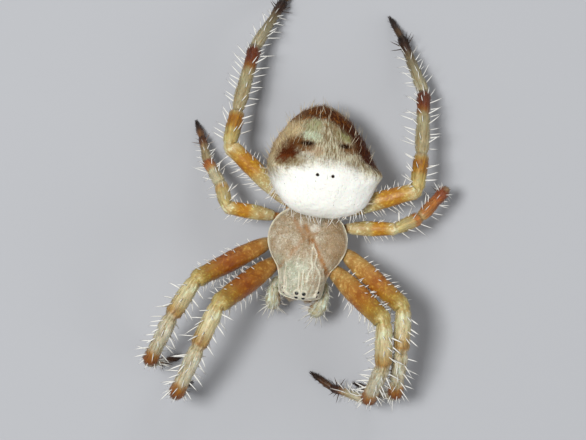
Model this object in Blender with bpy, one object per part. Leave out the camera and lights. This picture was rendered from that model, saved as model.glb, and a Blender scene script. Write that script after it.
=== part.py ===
"""Orb weaver spider, a still life-size model that stands on the tips of its eight legs.

The head faces -Y and the back faces +Z. Lengths are written in millimetres and turned into
metres by MM as each mesh is made. Every solid is first placed in the frame of the carapace,
whose centre is over the origin, and at the end one empty, the parent of them all, moves the
whole spider so that its box stands on the origin.
"""
import math

import bmesh
import bpy
from mathutils import Euler, Vector

MM = 0.001
GAP = 0.03                    # clearance between neighbouring solids
SIDES = {"left": 1, "right": -1}

# Carapace: (y, half width, height of the back), from the rear margin to the face
CARAPACE_EDGE_Z = 5.45
CARAPACE_ROWS = (
    (2.30, 0.00, 5.60), (2.12, 1.05, 5.85), (1.45, 2.10, 6.25), (0.50, 2.65, 6.60),
    (-0.50, 2.72, 6.72), (-1.40, 2.38, 6.90), (-2.20, 1.85, 7.12), (-3.00, 1.60, 7.18),
    (-3.65, 1.52, 6.98), (-4.12, 1.25, 6.50), (-4.32, 0.00, 5.95),
)
CARAPACE_POINTS = 15          # points along the back of one cross-section

# Trunk between the carapace and the sternum, which carries the legs: (y, half width)
STERNUM_ROWS = (
    (1.98, 0.00), (1.82, 0.38), (1.36, 0.76), (0.90, 1.04), (0.10, 1.22), (-0.60, 1.20),
    (-1.10, 1.00), (-1.70, 0.70), (-2.15, 0.50), (-2.32, 0.00),
)
STERNUM_BOTTOM_Z = 3.4
STERNUM_BEVEL = 0.25

# Abdomen, in its own frame: (y, half width, underside, back)
ABDOMEN_ORIGIN = (0.30, 1.40, 0.0)
ABDOMEN_YAW = 2.0
ABDOMEN_ROLL = 13.5
ABDOMEN_ROLL_Z = 5.6          # height of the axis it is rolled about
ABDOMEN_ROWS = (
    (0.00, 0.00, 7.10, 7.10), (0.32, 1.90, 6.35, 8.05), (0.95, 2.92, 5.75, 8.60),
    (1.90, 3.50, 4.35, 8.92), (2.90, 3.84, 3.10, 9.02), (3.90, 3.75, 2.20, 8.80),
    (4.90, 3.32, 1.75, 8.35), (6.00, 2.62, 1.85, 7.60), (7.20, 1.55, 2.80, 6.35),
    (7.85, 0.00, 4.75, 4.75),
)
ABDOMEN_WAIST = 0.58          # level of the greatest width, from the underside to the back
ABDOMEN_POINTS = 26
HUMP_Y = 3.30                 # the two shoulder humps
HUMP_ANGLE = 31.0             # degrees up from the side
HUMP_HEIGHT = 0.62
HUMP_SPREAD = (0.60, 16.0)    # along the body, and in degrees round it

PEDICEL = ((0.0, 2.02, 4.85), (0.0, 2.60, 4.90))
PEDICEL_RADIUS = 0.32
SPINNERETS_Y = 5.90           # in the abdomen's frame
SPINNERETS_LEAN = 0.25        # how far back the cone leans for each unit down
SPINNERETS_RADIUS = 0.78
SPINNERETS = ((0.55, 0.70), (1.05, 0.45))   # (distance below the abdomen, radius)
SPINNERETS_POINTS = 18

# Legs, first to fourth pair
SEGMENTS = ("femur", "patella", "tibia", "metatarsus", "tarsus")
LEG_SIDES = 10
FEMUR_BASE = {1: (1.90, -1.86), 2: (2.55, -0.59), 3: (2.35, 1.00), 4: (1.66, 2.00)}
FEMUR_BASE_Z = 4.5
# How far single legs' bases stand from the mirrored ones, as (out, back)
FEMUR_BASE_SHIFT = {("right", 3): (0.08, 0.18), ("right", 4): (-0.09, 0.16)}
COXA_START = {1: (1.02, -1.42), 2: (1.36, -0.48), 3: (1.34, 0.52), 4: (0.98, 1.36)}
COXA_START_Z = 4.25
COXA_RADIUS = 0.46
LEG_LENGTHS = {
    1: (6.45, 3.20, 4.60, 4.15, 1.80),
    2: (6.30, 3.00, 4.35, 3.90, 1.60),
    3: (3.60, 1.95, 2.65, 2.45, 1.45),
    4: (5.85, 2.55, 4.85, 4.45, 1.90),
}
LEG_RADII = {
    1: (0.82, 0.64, 0.60, 0.39, 0.27),
    2: (0.76, 0.62, 0.58, 0.38, 0.27),
    3: (0.58, 0.51, 0.46, 0.38, 0.27),
    4: (0.70, 0.58, 0.53, 0.46, 0.27),
}
# (fraction of the length, fraction of the greatest radius)
SEGMENT_PROFILES = {
    "femur": ((0.0, 0.70), (0.12, 0.78), (0.36, 0.98), (0.60, 1.0), (1.0, 0.88)),
    "patella": ((0.0, 0.90), (0.35, 1.0), (0.75, 0.98), (1.0, 0.90)),
    "tibia": ((0.0, 0.92), (0.25, 1.0), (0.60, 0.92), (1.0, 0.98)),
    "metatarsus": ((0.0, 0.96), (0.30, 1.0), (0.65, 0.88), (1.0, 0.78)),
    "tarsus": ((0.0, 0.96), (0.45, 1.0), (1.0, 1.0)),
}
FEMUR_NECK = 0.70             # radius of the trochanter joint, as a fraction of the femur's
TIP_Z = 0.20                  # height of the middle of each rounded tip, which is cut flat at 0

# The stance: for each segment but the tibia, its azimuth from +X and its elevation in
# degrees; the tibia has an azimuth only, as it falls as far as the tip needs to meet the floor.
STANCE = {
    ("right", 1): ((-136, 40), (-107, 0), -107, (60, -84), (30, -72)),
    ("right", 2): ((-145, 25), (-115, 6), -109, (-3, -77), (24, -42)),
    ("right", 3): ((178, 20), (113, -30), 130, (112, -42), (119, -41)),
    ("right", 4): ((144, 8), (85, -16), 83, (67, -30), (63, -24)),
    ("left", 1): ((-37, 39), (-83, -12), -103, (173, -53), (153, -20)),
    ("left", 2): ((-35, 28), (-85, 3), -88, (-170, -70), (162, -30)),
    ("left", 3): ((7, 5), (32, -17), 55, (235, -80), (235, -55)),
    ("left", 4): ((23, 8), (90, -8), 95, (119, -20), (127, -36)),
}

# Palps and jaws: (point, radius), from the mouth outwards
PALP_PATHS = {
    "right": (
        ((-0.48, -2.62, 3.85), 0.34), ((-1.15, -2.90, 3.92), 0.32), ((-1.70, -3.12, 4.05), 0.38),
        ((-1.86, -3.70, 4.15), 0.46), ((-1.84, -4.30, 4.05), 0.54), ((-1.80, -4.74, 3.45), 0.54),
        ((-1.76, -4.92, 2.70), 0.42),
    ),
    "left": (
        ((0.48, -2.62, 3.85), 0.34), ((1.05, -2.85, 3.92), 0.32), ((1.50, -3.00, 4.10), 0.38),
        ((1.64, -3.62, 4.20), 0.46), ((1.62, -4.24, 4.22), 0.52), ((1.42, -4.82, 3.98), 0.54),
        ((1.06, -5.06, 3.24), 0.42),
    ),
}
CHELICERA_PATH = (
    ((0.56, -3.66, 5.20), 0.44), ((0.56, -3.88, 4.75), 0.50), ((0.56, -4.02, 4.10), 0.50),
    ((0.55, -3.98, 3.45), 0.42), ((0.54, -3.92, 3.12), 0.28),
)
FANG_PATH = (
    ((0.86, -3.88, 2.95), 0.13), ((0.66, -3.86, 2.78), 0.125), ((0.42, -3.82, 2.74), 0.10),
    ((0.18, -3.76, 2.82), 0.06),
)

# Eyes: (x, y, radius); their heights come from the carapace
EYES = {
    "eye_median_front": (0.24, -4.14, 0.15),
    "eye_median_rear": (0.25, -3.86, 0.15),
    "eye_side_front": (1.12, -3.92, 0.12),
    "eye_side_rear": (1.22, -3.62, 0.12),
}
EYE_SUNK = 0.25               # part of the radius by which an eye's middle lies under the skin


def clear_scene():
    for obj in list(bpy.data.objects):
        bpy.data.objects.remove(obj, do_unlink=True)


def finish(name, color, roughness):
    """A material of one colour."""
    material = bpy.data.materials.new(name)
    material.use_nodes = True
    shader = material.node_tree.nodes["Principled BSDF"]
    shader.inputs["Base Color"].default_value = (*color, 1.0)
    shader.inputs["Roughness"].default_value = roughness
    shader.inputs["Metallic"].default_value = 0.0
    return material


def add_object(name, rings, material, origin, parent):
    """One closed solid, lofted through rings of points in millimetres. A ring of one point
    is a pole; an end ring of more points is capped with one flat face."""
    mesh = bmesh.new()
    origin = Vector(origin)
    loops = [[mesh.verts.new((point - origin) * MM) for point in ring] for ring in rings]
    for near, far in zip(loops, loops[1:]):
        count = max(len(near), len(far))
        for k in range(count):
            corners = [near[k % len(near)], near[(k + 1) % len(near)],
                       far[(k + 1) % len(far)], far[k % len(far)]]
            mesh.faces.new(list(dict.fromkeys(corners)))
    for loop in (loops[0], loops[-1]):
        if len(loop) > 1:
            mesh.faces.new(loop)
    bmesh.ops.recalc_face_normals(mesh, faces=mesh.faces)
    data = bpy.data.meshes.new(name)
    mesh.to_mesh(data)
    mesh.free()
    data.materials.append(material)
    data.shade_smooth()
    data.set_sharp_from_angle(angle=math.radians(50.0))
    obj = bpy.data.objects.new(name, data)
    bpy.context.collection.objects.link(obj)
    obj.parent = parent
    obj.location = origin * MM
    return obj


def add_empty(name, location, parent=None):
    empty = bpy.data.objects.new(name, None)
    bpy.context.collection.objects.link(empty)
    empty.parent = parent
    empty.location = Vector(location) * MM
    return empty


def smooth_rows(rows, before, after, steps):
    """The rows with others between them, on a Catmull-Rom curve. before and after are the
    rows that it would reach past its ends."""
    chain = [before, *rows, after]
    result = []
    for i in range(1, len(chain) - 2):
        for step in range(steps):
            t = step / steps
            row = []
            for a, b, c, d in zip(*chain[i - 1:i + 3]):
                row.append(0.5 * (2.0 * b + (c - a) * t + (2.0 * a - 5.0 * b + 4.0 * c - d) * t * t
                                  + (3.0 * b - a - 3.0 * c + d) * t ** 3))
            result.append(tuple(row))
    result.append(tuple(chain[-2]))
    return result


# ---- Carapace and eyes -------------------------------------------------------------------

def carapace_profile():
    first, last = CARAPACE_ROWS[1], CARAPACE_ROWS[-2]
    before = (first[0], -first[1], CARAPACE_ROWS[0][2])
    after = (last[0], -last[1], CARAPACE_ROWS[-1][2] - 0.3)
    return smooth_rows(CARAPACE_ROWS, before, after, 2)


def carapace_height(x, half_width, top):
    """Height of the back at x, in a cross-section of the given half width and top."""
    across = min(abs(x) / max(half_width, 1e-6), 1.0)
    return CARAPACE_EDGE_Z + (top - CARAPACE_EDGE_Z) * (1.0 - across ** 2.4) ** 0.62


def carapace_point(x, y):
    """The back's surface over a place near the face, from the rows on each side of it."""
    rows = carapace_profile()
    for behind, ahead in zip(rows, rows[1:]):
        if ahead[0] <= y <= behind[0]:
            t = (y - behind[0]) / (ahead[0] - behind[0])
            half_width = behind[1] + t * (ahead[1] - behind[1])
            top = behind[2] + t * (ahead[2] - behind[2])
            return Vector((x, y, carapace_height(x, half_width, top)))
    raise ValueError("outside the carapace")


def carapace_normal(x, y):
    step = 0.04
    along_x = carapace_point(x + step, y) - carapace_point(x - step, y)
    along_y = carapace_point(x, y + step) - carapace_point(x, y - step)
    return along_x.cross(along_y).normalized()


def build_carapace(root):
    rings = []
    for y, half_width, top in carapace_profile():
        if half_width <= 0.0:
            rings.append([Vector((0.0, y, CARAPACE_EDGE_Z))])
            continue
        ring = []
        for k in range(CARAPACE_POINTS):
            x = half_width * math.cos(math.pi * k / (CARAPACE_POINTS - 1))
            ring.append(Vector((x, y, carapace_height(x, half_width, top))))
        rings.append(ring)
    skin = finish("carapace", (0.42, 0.33, 0.26), 0.7)
    return add_object("carapace", rings, skin, (0.0, 0.0, CARAPACE_EDGE_Z), root)


def build_eyes(root, carapace):
    """Eight ball eyes, each in a socket a little larger than itself."""
    glass = finish("eye", (0.012, 0.010, 0.010), 0.08)
    cutter_mesh = bmesh.new()
    for kind, (x, y, radius) in EYES.items():
        for side, sign in SIDES.items():
            middle = carapace_point(x * sign, y)
            middle -= carapace_normal(x * sign, y) * radius * EYE_SUNK
            ball = bmesh.new()
            bmesh.ops.create_uvsphere(ball, u_segments=10, v_segments=6, radius=radius * MM)
            data = bpy.data.meshes.new(f"{kind}_{side}")
            ball.to_mesh(data)
            ball.free()
            data.materials.append(glass)
            data.shade_smooth()
            eye = bpy.data.objects.new(f"{kind}_{side}", data)
            bpy.context.collection.objects.link(eye)
            eye.parent = root
            eye.location = middle * MM
            socket = bmesh.ops.create_uvsphere(
                cutter_mesh, u_segments=10, v_segments=6, radius=(radius + GAP) * MM)
            bmesh.ops.translate(cutter_mesh, verts=socket["verts"], vec=middle * MM)
    data = bpy.data.meshes.new("eye_sockets")
    cutter_mesh.to_mesh(data)
    cutter_mesh.free()
    cutter = bpy.data.objects.new("eye_sockets", data)
    bpy.context.collection.objects.link(cutter)
    cutter.parent = root
    cutter.hide_render = True
    cutter.display_type = "WIRE"
    cut = carapace.modifiers.new("sockets", "BOOLEAN")
    cut.operation = "DIFFERENCE"
    cut.solver = "EXACT"
    cut.object = cutter


# ---- Trunk and abdomen -------------------------------------------------------------------

def build_sternum(root):
    """A heart-shaped block with its lower edge drawn in."""
    first, last = STERNUM_ROWS[1], STERNUM_ROWS[-2]
    half = smooth_rows(STERNUM_ROWS, (first[0], -first[1]), (last[0], -last[1]), 2)
    outline = [(x, y) for y, x in half] + [(-x, y) for y, x in reversed(half[1:-1])]
    centre_y = (half[0][0] + half[-1][0]) / 2.0
    levels = (
        (STERNUM_BOTTOM_Z, 0.80), (STERNUM_BOTTOM_Z + STERNUM_BEVEL, 1.0),
        (CARAPACE_EDGE_Z - GAP, 1.0),
    )
    rings = []
    for z, scale in levels:
        rings.append([Vector((x * scale, centre_y + (y - centre_y) * scale, z))
                      for x, y in outline])
    brown = finish("sternum", (0.12, 0.07, 0.04), 0.6)
    add_object("sternum", rings, brown, (0.0, 0.0, STERNUM_BOTTOM_Z), root)


def abdomen_profile():
    first, last = ABDOMEN_ROWS[1], ABDOMEN_ROWS[-2]
    before = (first[0], -first[1], first[3], first[2])
    after = (last[0], -last[1], last[3], last[2])
    return smooth_rows(ABDOMEN_ROWS, before, after, 2)


def abdomen_waist(bottom, top):
    return bottom + ABDOMEN_WAIST * (top - bottom)


def abdomen_underside(x, y):
    """Height of the abdomen's underside, in its own frame."""
    rows = abdomen_profile()
    for ahead, behind in zip(rows, rows[1:]):
        if ahead[0] <= y <= behind[0]:
            t = (y - ahead[0]) / (behind[0] - ahead[0])
            _, half_width, bottom, top = (a + t * (b - a) for a, b in zip(ahead, behind))
            waist = abdomen_waist(bottom, top)
            return waist - (waist - bottom) * math.sqrt(1.0 - (x / half_width) ** 2)
    raise ValueError("outside the abdomen")


def hump(y, outward):
    """How far a shoulder hump lifts the skin at y, in a direction round the body."""
    up_angle = math.degrees(math.atan2(outward.z, abs(outward.x)))
    along = (y - HUMP_Y) / HUMP_SPREAD[0]
    around = (up_angle - HUMP_ANGLE) / HUMP_SPREAD[1]
    return HUMP_HEIGHT * math.exp(-along * along - around * around)


def build_abdomen(root):
    """An egg, widest at the shoulders, each of which bears a low hump."""
    rings = []
    for y, half_width, bottom, top in abdomen_profile():
        waist = abdomen_waist(bottom, top)
        centre = Vector((0.0, y, waist - ABDOMEN_ROLL_Z))
        if half_width <= 0.0:
            rings.append([centre])
            continue
        ring = []
        for k in range(ABDOMEN_POINTS):
            angle = 2.0 * math.pi * k / ABDOMEN_POINTS
            outward = Vector((math.cos(angle), 0.0, math.sin(angle)))
            height = (top - waist) if outward.z > 0.0 else (waist - bottom)
            reach = Vector((half_width * outward.x, 0.0, height * outward.z))
            ring.append(centre + reach + outward * hump(y, outward))
        rings.append(ring)
    cream = finish("abdomen", (0.62, 0.55, 0.44), 0.6)
    abdomen = add_object("abdomen", rings, cream, (0.0, 0.0, 0.0), root)
    place_on_abdomen(abdomen)


def place_on_abdomen(obj):
    """Turns an object, made in the abdomen's frame, into the abdomen's place."""
    x, y, z = ABDOMEN_ORIGIN
    obj.location = Vector((x, y, z + ABDOMEN_ROLL_Z)) * MM
    obj.rotation_euler = Euler((0.0, math.radians(ABDOMEN_ROLL), math.radians(ABDOMEN_YAW)))


def build_spinnerets(root):
    """A short cone of six joined spinnerets, whose top follows the abdomen's underside."""
    def ring(radius, drop, height):
        """A lobed ring, at a height that a function of x and y gives."""
        points = []
        for k in range(SPINNERETS_POINTS):
            angle = 2.0 * math.pi * k / SPINNERETS_POINTS
            lobe = radius * (1.0 + 0.12 * drop * math.cos(6.0 * angle))
            x = lobe * math.cos(angle)
            y = SPINNERETS_Y + SPINNERETS_LEAN * drop + lobe * math.sin(angle)
            points.append(Vector((x, y, height(x, y) - ABDOMEN_ROLL_Z)))
        return points

    def against_skin(x, y):
        return abdomen_underside(x, y) - 2.0 * GAP

    middle = abdomen_underside(0.0, SPINNERETS_Y)
    rings = [[Vector((0.0, SPINNERETS_Y, middle - 2.0 * GAP - ABDOMEN_ROLL_Z))]]
    for part in (0.35, 0.70, 1.0):
        rings.append(ring(SPINNERETS_RADIUS * part, 0.0, against_skin))
    for below, radius in SPINNERETS:
        rings.append(ring(radius, below, lambda x, y, level=middle - below: level))
    brown = finish("spinnerets", (0.10, 0.05, 0.03), 0.55)
    cone = add_object("spinnerets", rings, brown, (0.0, 0.0, 0.0), root)
    place_on_abdomen(cone)


# ---- Limbs -------------------------------------------------------------------------------

def section(centre, direction, radius, normal, shift, sides):
    """A circle round a limb's axis, slid along the axis onto the plane that has the given
    normal and lies the given distance past the centre. One point lies lowest."""
    side = direction.cross(Vector((0.0, 0.0, 1.0))).normalized()
    upward = side.cross(direction)
    ring = []
    for k in range(sides):
        angle = 2.0 * math.pi * k / sides - math.pi / 2.0
        spoke = (side * math.cos(angle) + upward * math.sin(angle)) * radius
        slide = (shift - spoke.dot(normal)) / direction.dot(normal)
        ring.append(centre + spoke + direction * slide)
    return ring


def stretch(start, end, profile, normals, shifts, sides):
    """Rings along one straight length of a limb. Its two end rings lie on mitre planes, and
    those between them keep clear of the mitres."""
    direction = (end - start).normalized()
    length = (end - start).length
    clear = []
    for normal, (_, radius) in zip(normals, (profile[0], profile[-1])):
        cosine = max(min(direction.dot(normal), 1.0), 0.3)
        clear.append(radius * math.sqrt(1.0 - cosine * cosine) / cosine + 0.06)
    rings = [section(start, direction, profile[0][1], normals[0], shifts[0], sides)]
    for fraction, radius in profile[1:-1]:
        distance = clear[0] + fraction * (length - clear[0] - clear[1])
        rings.append(section(start + direction * distance, direction, radius, direction, 0.0, sides))
    rings.append(section(end, direction, profile[-1][1], normals[1], shifts[1], sides))
    return rings


def heading(azimuth, elevation):
    around, up = math.radians(azimuth), math.radians(elevation)
    return Vector((math.cos(up) * math.cos(around), math.cos(up) * math.sin(around), math.sin(up)))


def leg_joints(side, pair):
    """The femur's base, the four joints after it, and the middle of the rounded tip."""
    stance = STANCE[side, pair]
    lengths = LEG_LENGTHS[pair]
    fall = FEMUR_BASE_Z - TIP_Z
    for index in (0, 1, 3, 4):
        fall += lengths[index] * math.sin(math.radians(stance[index][1]))
    tibia_elevation = -math.degrees(math.asin(fall / lengths[2]))
    angles = (*stance[:2], (stance[2], tibia_elevation), *stance[3:])
    x, y = FEMUR_BASE[pair]
    out, back = FEMUR_BASE_SHIFT.get((side, pair), (0.0, 0.0))
    joints = [Vector(((x + out) * SIDES[side], y + back, FEMUR_BASE_Z))]
    for length, angle in zip(lengths, angles):
        joints.append(joints[-1] + heading(*angle) * length)
    return joints


def build_leg(root, side, pair, materials):
    joints = leg_joints(side, pair)
    prefix = f"leg_{side}_{pair}"
    leg = add_empty(prefix, joints[0], root)
    directions = [(b - a).normalized() for a, b in zip(joints, joints[1:])]
    x, y = COXA_START[pair]
    coxa_start = Vector((x * SIDES[side], y, COXA_START_Z))
    coxa_direction = (joints[0] - coxa_start).normalized()
    before = [coxa_direction, *directions[:-1]]
    after = [*directions[1:], directions[-1]]
    for index, segment in enumerate(SEGMENTS):
        radius = LEG_RADII[pair][index]
        profile = [(fraction, radius * part) for fraction, part in SEGMENT_PROFILES[segment]]
        direction = directions[index]
        normals = ((before[index] + direction).normalized(), (direction + after[index]).normalized())
        shifts = (GAP / 2.0, -GAP / 2.0)
        if segment == "femur":
            neck = radius * FEMUR_NECK
            profile[0] = (0.0, neck)
            coxa = ((0.0, COXA_RADIUS), (0.25, COXA_RADIUS * 1.12), (0.9, COXA_RADIUS * 1.1), (1.0, neck))
            rings = stretch(coxa_start, joints[0], coxa, (coxa_direction, normals[0]), (0.0, 0.0),
                            LEG_SIDES)
            rings += stretch(joints[0], joints[1], profile, normals, (0.0, shifts[1]), LEG_SIDES)[1:]
        else:
            rings = stretch(joints[index], joints[index + 1], profile, normals, shifts, LEG_SIDES)
        if segment == "tarsus":
            rings[-1] = section(joints[5], direction, radius, direction, 0.0, LEG_SIDES)
            for turn in (30.0, 60.0):
                ahead = radius * math.sin(math.radians(turn))
                rings.append(section(joints[5] + direction * ahead, direction,
                                     radius * math.cos(math.radians(turn)), direction, 0.0, LEG_SIDES))
            rings.append([joints[5] + direction * radius])
        origin = joints[index] - joints[0]
        local = [[point - joints[0] for point in ring] for ring in rings]
        add_object(f"{prefix}_{segment}", local, materials[segment], origin, leg)
        if segment == "tarsus":
            flatten_on_floor(bpy.data.objects[f"{prefix}_{segment}"], joints[4].z)


def flatten_on_floor(obj, height):
    """Cuts away what lies under the floor, from an object whose origin is at this height."""
    mesh = bmesh.new()
    mesh.from_mesh(obj.data)
    bmesh.ops.bisect_plane(mesh, geom=mesh.verts[:] + mesh.edges[:] + mesh.faces[:],
                           plane_co=(0.0, 0.0, -height * MM), plane_no=(0.0, 0.0, -1.0),
                           clear_outer=True)
    bmesh.ops.holes_fill(mesh, edges=[edge for edge in mesh.edges if edge.is_boundary])
    bmesh.ops.recalc_face_normals(mesh, faces=mesh.faces)
    mesh.to_mesh(obj.data)
    mesh.free()


def bent_rod(path, sides, tip=True):
    """Rings through a path of (point, radius), mitred at each bend, with a blunt tip."""
    points = [Vector(point) for point, _ in path]
    directions = [(b - a).normalized() for a, b in zip(points, points[1:])]
    rings = []
    for i, (point, (_, radius)) in enumerate(zip(points, path)):
        direction = directions[min(i, len(directions) - 1)]
        previous = directions[max(i - 1, 0)]
        rings.append(section(point, direction, radius, (previous + direction).normalized(), 0.0, sides))
    if tip:
        radius = path[-1][1]
        rings.append(section(points[-1] + directions[-1] * radius * 0.7, directions[-1],
                             radius * 0.65, directions[-1], 0.0, sides))
    return rings


def build_palps(root):
    yellow = finish("palp", (0.60, 0.47, 0.27), 0.5)
    for side, path in PALP_PATHS.items():
        add_object(f"palp_{side}", bent_rod(path, LEG_SIDES), yellow, path[0][0], root)


def mirrored(path, sign):
    return tuple(((x * sign, y, z), radius) for (x, y, z), radius in path)


def build_jaws(root):
    brown = finish("chelicera", (0.20, 0.10, 0.05), 0.4)
    dark = finish("fang", (0.03, 0.012, 0.008), 0.2)
    for side, sign in SIDES.items():
        jaw = mirrored(CHELICERA_PATH, sign)
        add_object(f"chelicera_{side}", bent_rod(jaw, 12, tip=False), brown, jaw[0][0], root)
        fang = mirrored(FANG_PATH, sign)
        add_object(f"fang_{side}", bent_rod(fang, 8), dark, fang[0][0], root)


def build_pedicel(root):
    brown = finish("pedicel", (0.20, 0.12, 0.07), 0.6)
    path = tuple((point, PEDICEL_RADIUS) for point in PEDICEL)
    add_object("pedicel", bent_rod(path, 10, tip=False), brown, PEDICEL[0], root)


def stand_on_origin(root):
    """Moves the root so that the box of all solids is centred over the origin."""
    bpy.context.view_layer.update()
    corners = [obj.matrix_world @ vertex.co
               for obj in bpy.data.objects if obj.type == "MESH" and not obj.hide_render
               for vertex in obj.data.vertices]
    for axis in range(2):
        values = [corner[axis] for corner in corners]
        root.location[axis] -= (min(values) + max(values)) / 2.0


def main():
    clear_scene()
    root = add_empty("spider", (0.0, 0.0, 0.0))
    carapace = build_carapace(root)
    build_eyes(root, carapace)
    build_sternum(root)
    build_pedicel(root)
    build_abdomen(root)
    build_spinnerets(root)
    build_jaws(root)
    build_palps(root)
    materials = {
        "femur": finish("femur", (0.45, 0.18, 0.06), 0.45),
        "patella": finish("patella", (0.60, 0.38, 0.20), 0.5),
        "tibia": finish("tibia", (0.66, 0.55, 0.40), 0.55),
        "metatarsus": finish("metatarsus", (0.62, 0.50, 0.34), 0.55),
        "tarsus": finish("tarsus", (0.22, 0.08, 0.04), 0.5),
    }
    for side in SIDES:
        for pair in FEMUR_BASE:
            build_leg(root, side, pair, materials)
    stand_on_origin(root)


main()
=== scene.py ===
"""The finished look of the orb weaver spider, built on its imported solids.

One skin covers each leg, the carapace, the abdomen and each smaller soft part, a little inside
the solids, and carries spines and hairs that are joined meshes. Skin and coat share their
markings, which are worked out from each point's place on the body. Sizes are in millimetres
and MM turns them into metres.
"""
import math

import bmesh
import bpy
import numpy as np
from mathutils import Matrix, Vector, noise


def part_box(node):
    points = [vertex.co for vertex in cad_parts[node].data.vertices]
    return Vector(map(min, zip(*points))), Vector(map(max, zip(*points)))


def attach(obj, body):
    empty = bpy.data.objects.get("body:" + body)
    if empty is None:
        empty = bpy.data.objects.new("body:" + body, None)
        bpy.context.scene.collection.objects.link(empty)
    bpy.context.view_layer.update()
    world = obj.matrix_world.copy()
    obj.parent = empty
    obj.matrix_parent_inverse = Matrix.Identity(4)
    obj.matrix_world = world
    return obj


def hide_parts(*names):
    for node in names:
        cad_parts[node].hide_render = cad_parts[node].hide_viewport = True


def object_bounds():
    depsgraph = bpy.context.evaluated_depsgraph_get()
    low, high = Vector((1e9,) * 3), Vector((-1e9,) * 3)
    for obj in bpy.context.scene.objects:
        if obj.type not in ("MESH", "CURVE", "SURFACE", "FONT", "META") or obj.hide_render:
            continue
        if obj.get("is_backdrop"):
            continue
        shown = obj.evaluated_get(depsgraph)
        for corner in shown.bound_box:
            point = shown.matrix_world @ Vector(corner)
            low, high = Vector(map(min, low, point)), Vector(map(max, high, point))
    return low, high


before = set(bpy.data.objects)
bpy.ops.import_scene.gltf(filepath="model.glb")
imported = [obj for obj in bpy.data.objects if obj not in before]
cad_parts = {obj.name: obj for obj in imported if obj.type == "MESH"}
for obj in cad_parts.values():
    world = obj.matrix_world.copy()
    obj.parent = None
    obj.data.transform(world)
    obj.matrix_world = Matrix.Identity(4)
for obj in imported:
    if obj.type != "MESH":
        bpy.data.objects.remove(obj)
cad_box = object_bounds()

MM = 0.001
SIDES = {"left": 1.0, "right": -1.0}
PAIRS = (1, 2, 3, 4)
UP = np.array((0.0, 0.0, 1.0))
SEED = 20

# Skins: depth under the solids' faces, and corners round a section
SKIN_DEPTH = 0.05
LEG_CORNERS = 28
PALP_CORNERS = 20
JAW_CORNERS = 24

# Legs. Segments are numbered from the coxa, 0, to the tarsus, 5.
SEGMENTS = ("femur", "patella", "tibia", "metatarsus", "tarsus")
FOOT_RISE = 0.2               # height of the middle of the rounded tip
# (share of the segment's length, share of its greatest radius)
COXA_SHAPE = ((0.0, 0.8), (0.1, 0.98), (0.35, 1.02), (0.58, 0.98), (0.66, 0.84), (0.72, 0.9),
              (0.9, 0.86), (0.97, 0.74))
SEGMENT_SHAPES = {
    "femur": ((0.02, 0.56), (0.05, 0.66), (0.14, 0.8), (0.3, 0.94), (0.48, 1.0), (0.68, 0.97),
              (0.86, 0.9), (0.95, 0.91), (0.985, 0.82)),
    "patella": ((0.03, 0.76), (0.08, 0.88), (0.25, 0.97), (0.5, 1.0), (0.75, 0.98), (0.92, 0.94),
                (0.975, 0.8)),
    "tibia": ((0.02, 0.76), (0.06, 0.9), (0.22, 1.0), (0.45, 0.95), (0.7, 0.91), (0.9, 0.98),
              (0.955, 0.98), (0.985, 0.84)),
    "metatarsus": ((0.02, 0.86), (0.06, 1.0), (0.18, 0.98), (0.4, 0.86), (0.7, 0.76), (0.92, 0.82),
                   (0.98, 0.74)),
    "tarsus": ((0.03, 0.78), (0.08, 0.92), (0.35, 0.96), (0.7, 0.86), (0.9, 0.74), (1.0, 0.58)),
}
JOINT_SHRINK = 0.93           # a joint's membrane, as a share of the radii beside it
JOINT_RINGS = 5
JOINT_FOLD = 0.05
RING_SPACING = 0.13
SHAPE_STEPS = 8               # steps of the curve between two of a shape's points
TIP_TURNS = (25.0, 50.0, 72.0)    # angles of the last rings, which round a tip off


# ---- Reading the solids ------------------------------------------------------------------

FLAT_COSINE = 0.99999         # between the normals of triangles in one flat face
END_TRIANGLES = 6             # a flat end's least triangles
POLE_EDGES = 12               # more edges than this meet at a pole
WELD = 1e-7                   # distance in metres at which corners are one


def norm(vectors):
    return np.linalg.norm(vectors, axis=-1)


def unit(vectors):
    return vectors / np.maximum(np.linalg.norm(vectors, axis=-1, keepdims=True), 1e-12)


def box_of(node):
    low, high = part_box(node)
    return np.array(low), np.array(high)


def box_centre(node):
    low, high = box_of(node)
    return (low + high) / 2.0


def flat_ends(mesh):
    """The corners of each flat face of many sides, which is drawn as coplanar triangles."""
    seen, ends = set(), []
    for face in mesh.faces:
        if face in seen:
            continue
        patch, queue = {face}, [face]
        while queue:
            for edge in queue.pop().edges:
                for other in edge.link_faces:
                    if other not in patch and other.normal.dot(face.normal) > FLAT_COSINE:
                        patch.add(other)
                        queue.append(other)
        seen |= patch
        if len(patch) >= END_TRIANGLES:
            ends.append({corner for one in patch for corner in one.verts})
    return ends


def corner_layers(node, near):
    """A solid's corners in layers of neighbours, from the flat end or pole nearest a point."""
    mesh = bmesh.new()
    mesh.from_mesh(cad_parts[node].data)
    bmesh.ops.remove_doubles(mesh, verts=mesh.verts, dist=WELD)
    mesh.verts.index_update()
    ends = flat_ends(mesh)
    flat = set().union(*ends)
    ends += [{v} for v in mesh.verts if len(v.link_edges) > POLE_EDGES and v not in flat]

    def distance(end):
        middle = sum((v.co for v in end), Vector()) / len(end)
        return (middle - Vector(near)).length

    layer = min(ends, key=distance)
    seen, layers = set(layer), []
    while layer:
        ordered = sorted(layer, key=lambda v: v.index)
        layers.append(np.array([v.co for v in ordered]))
        layer = {edge.other_vert(v) for v in layer for edge in v.link_edges} - seen
        seen |= layer
    mesh.free()
    return layers


def radius_of(layer):
    return norm(layer - layer.mean(0)).mean()


def centres_and_radii(layers):
    centres = [layer.mean(0) for layer in layers]
    return np.array(centres), np.array([radius_of(layer) for layer in layers])


# ---- Surfaces ----------------------------------------------------------------------------

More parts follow.
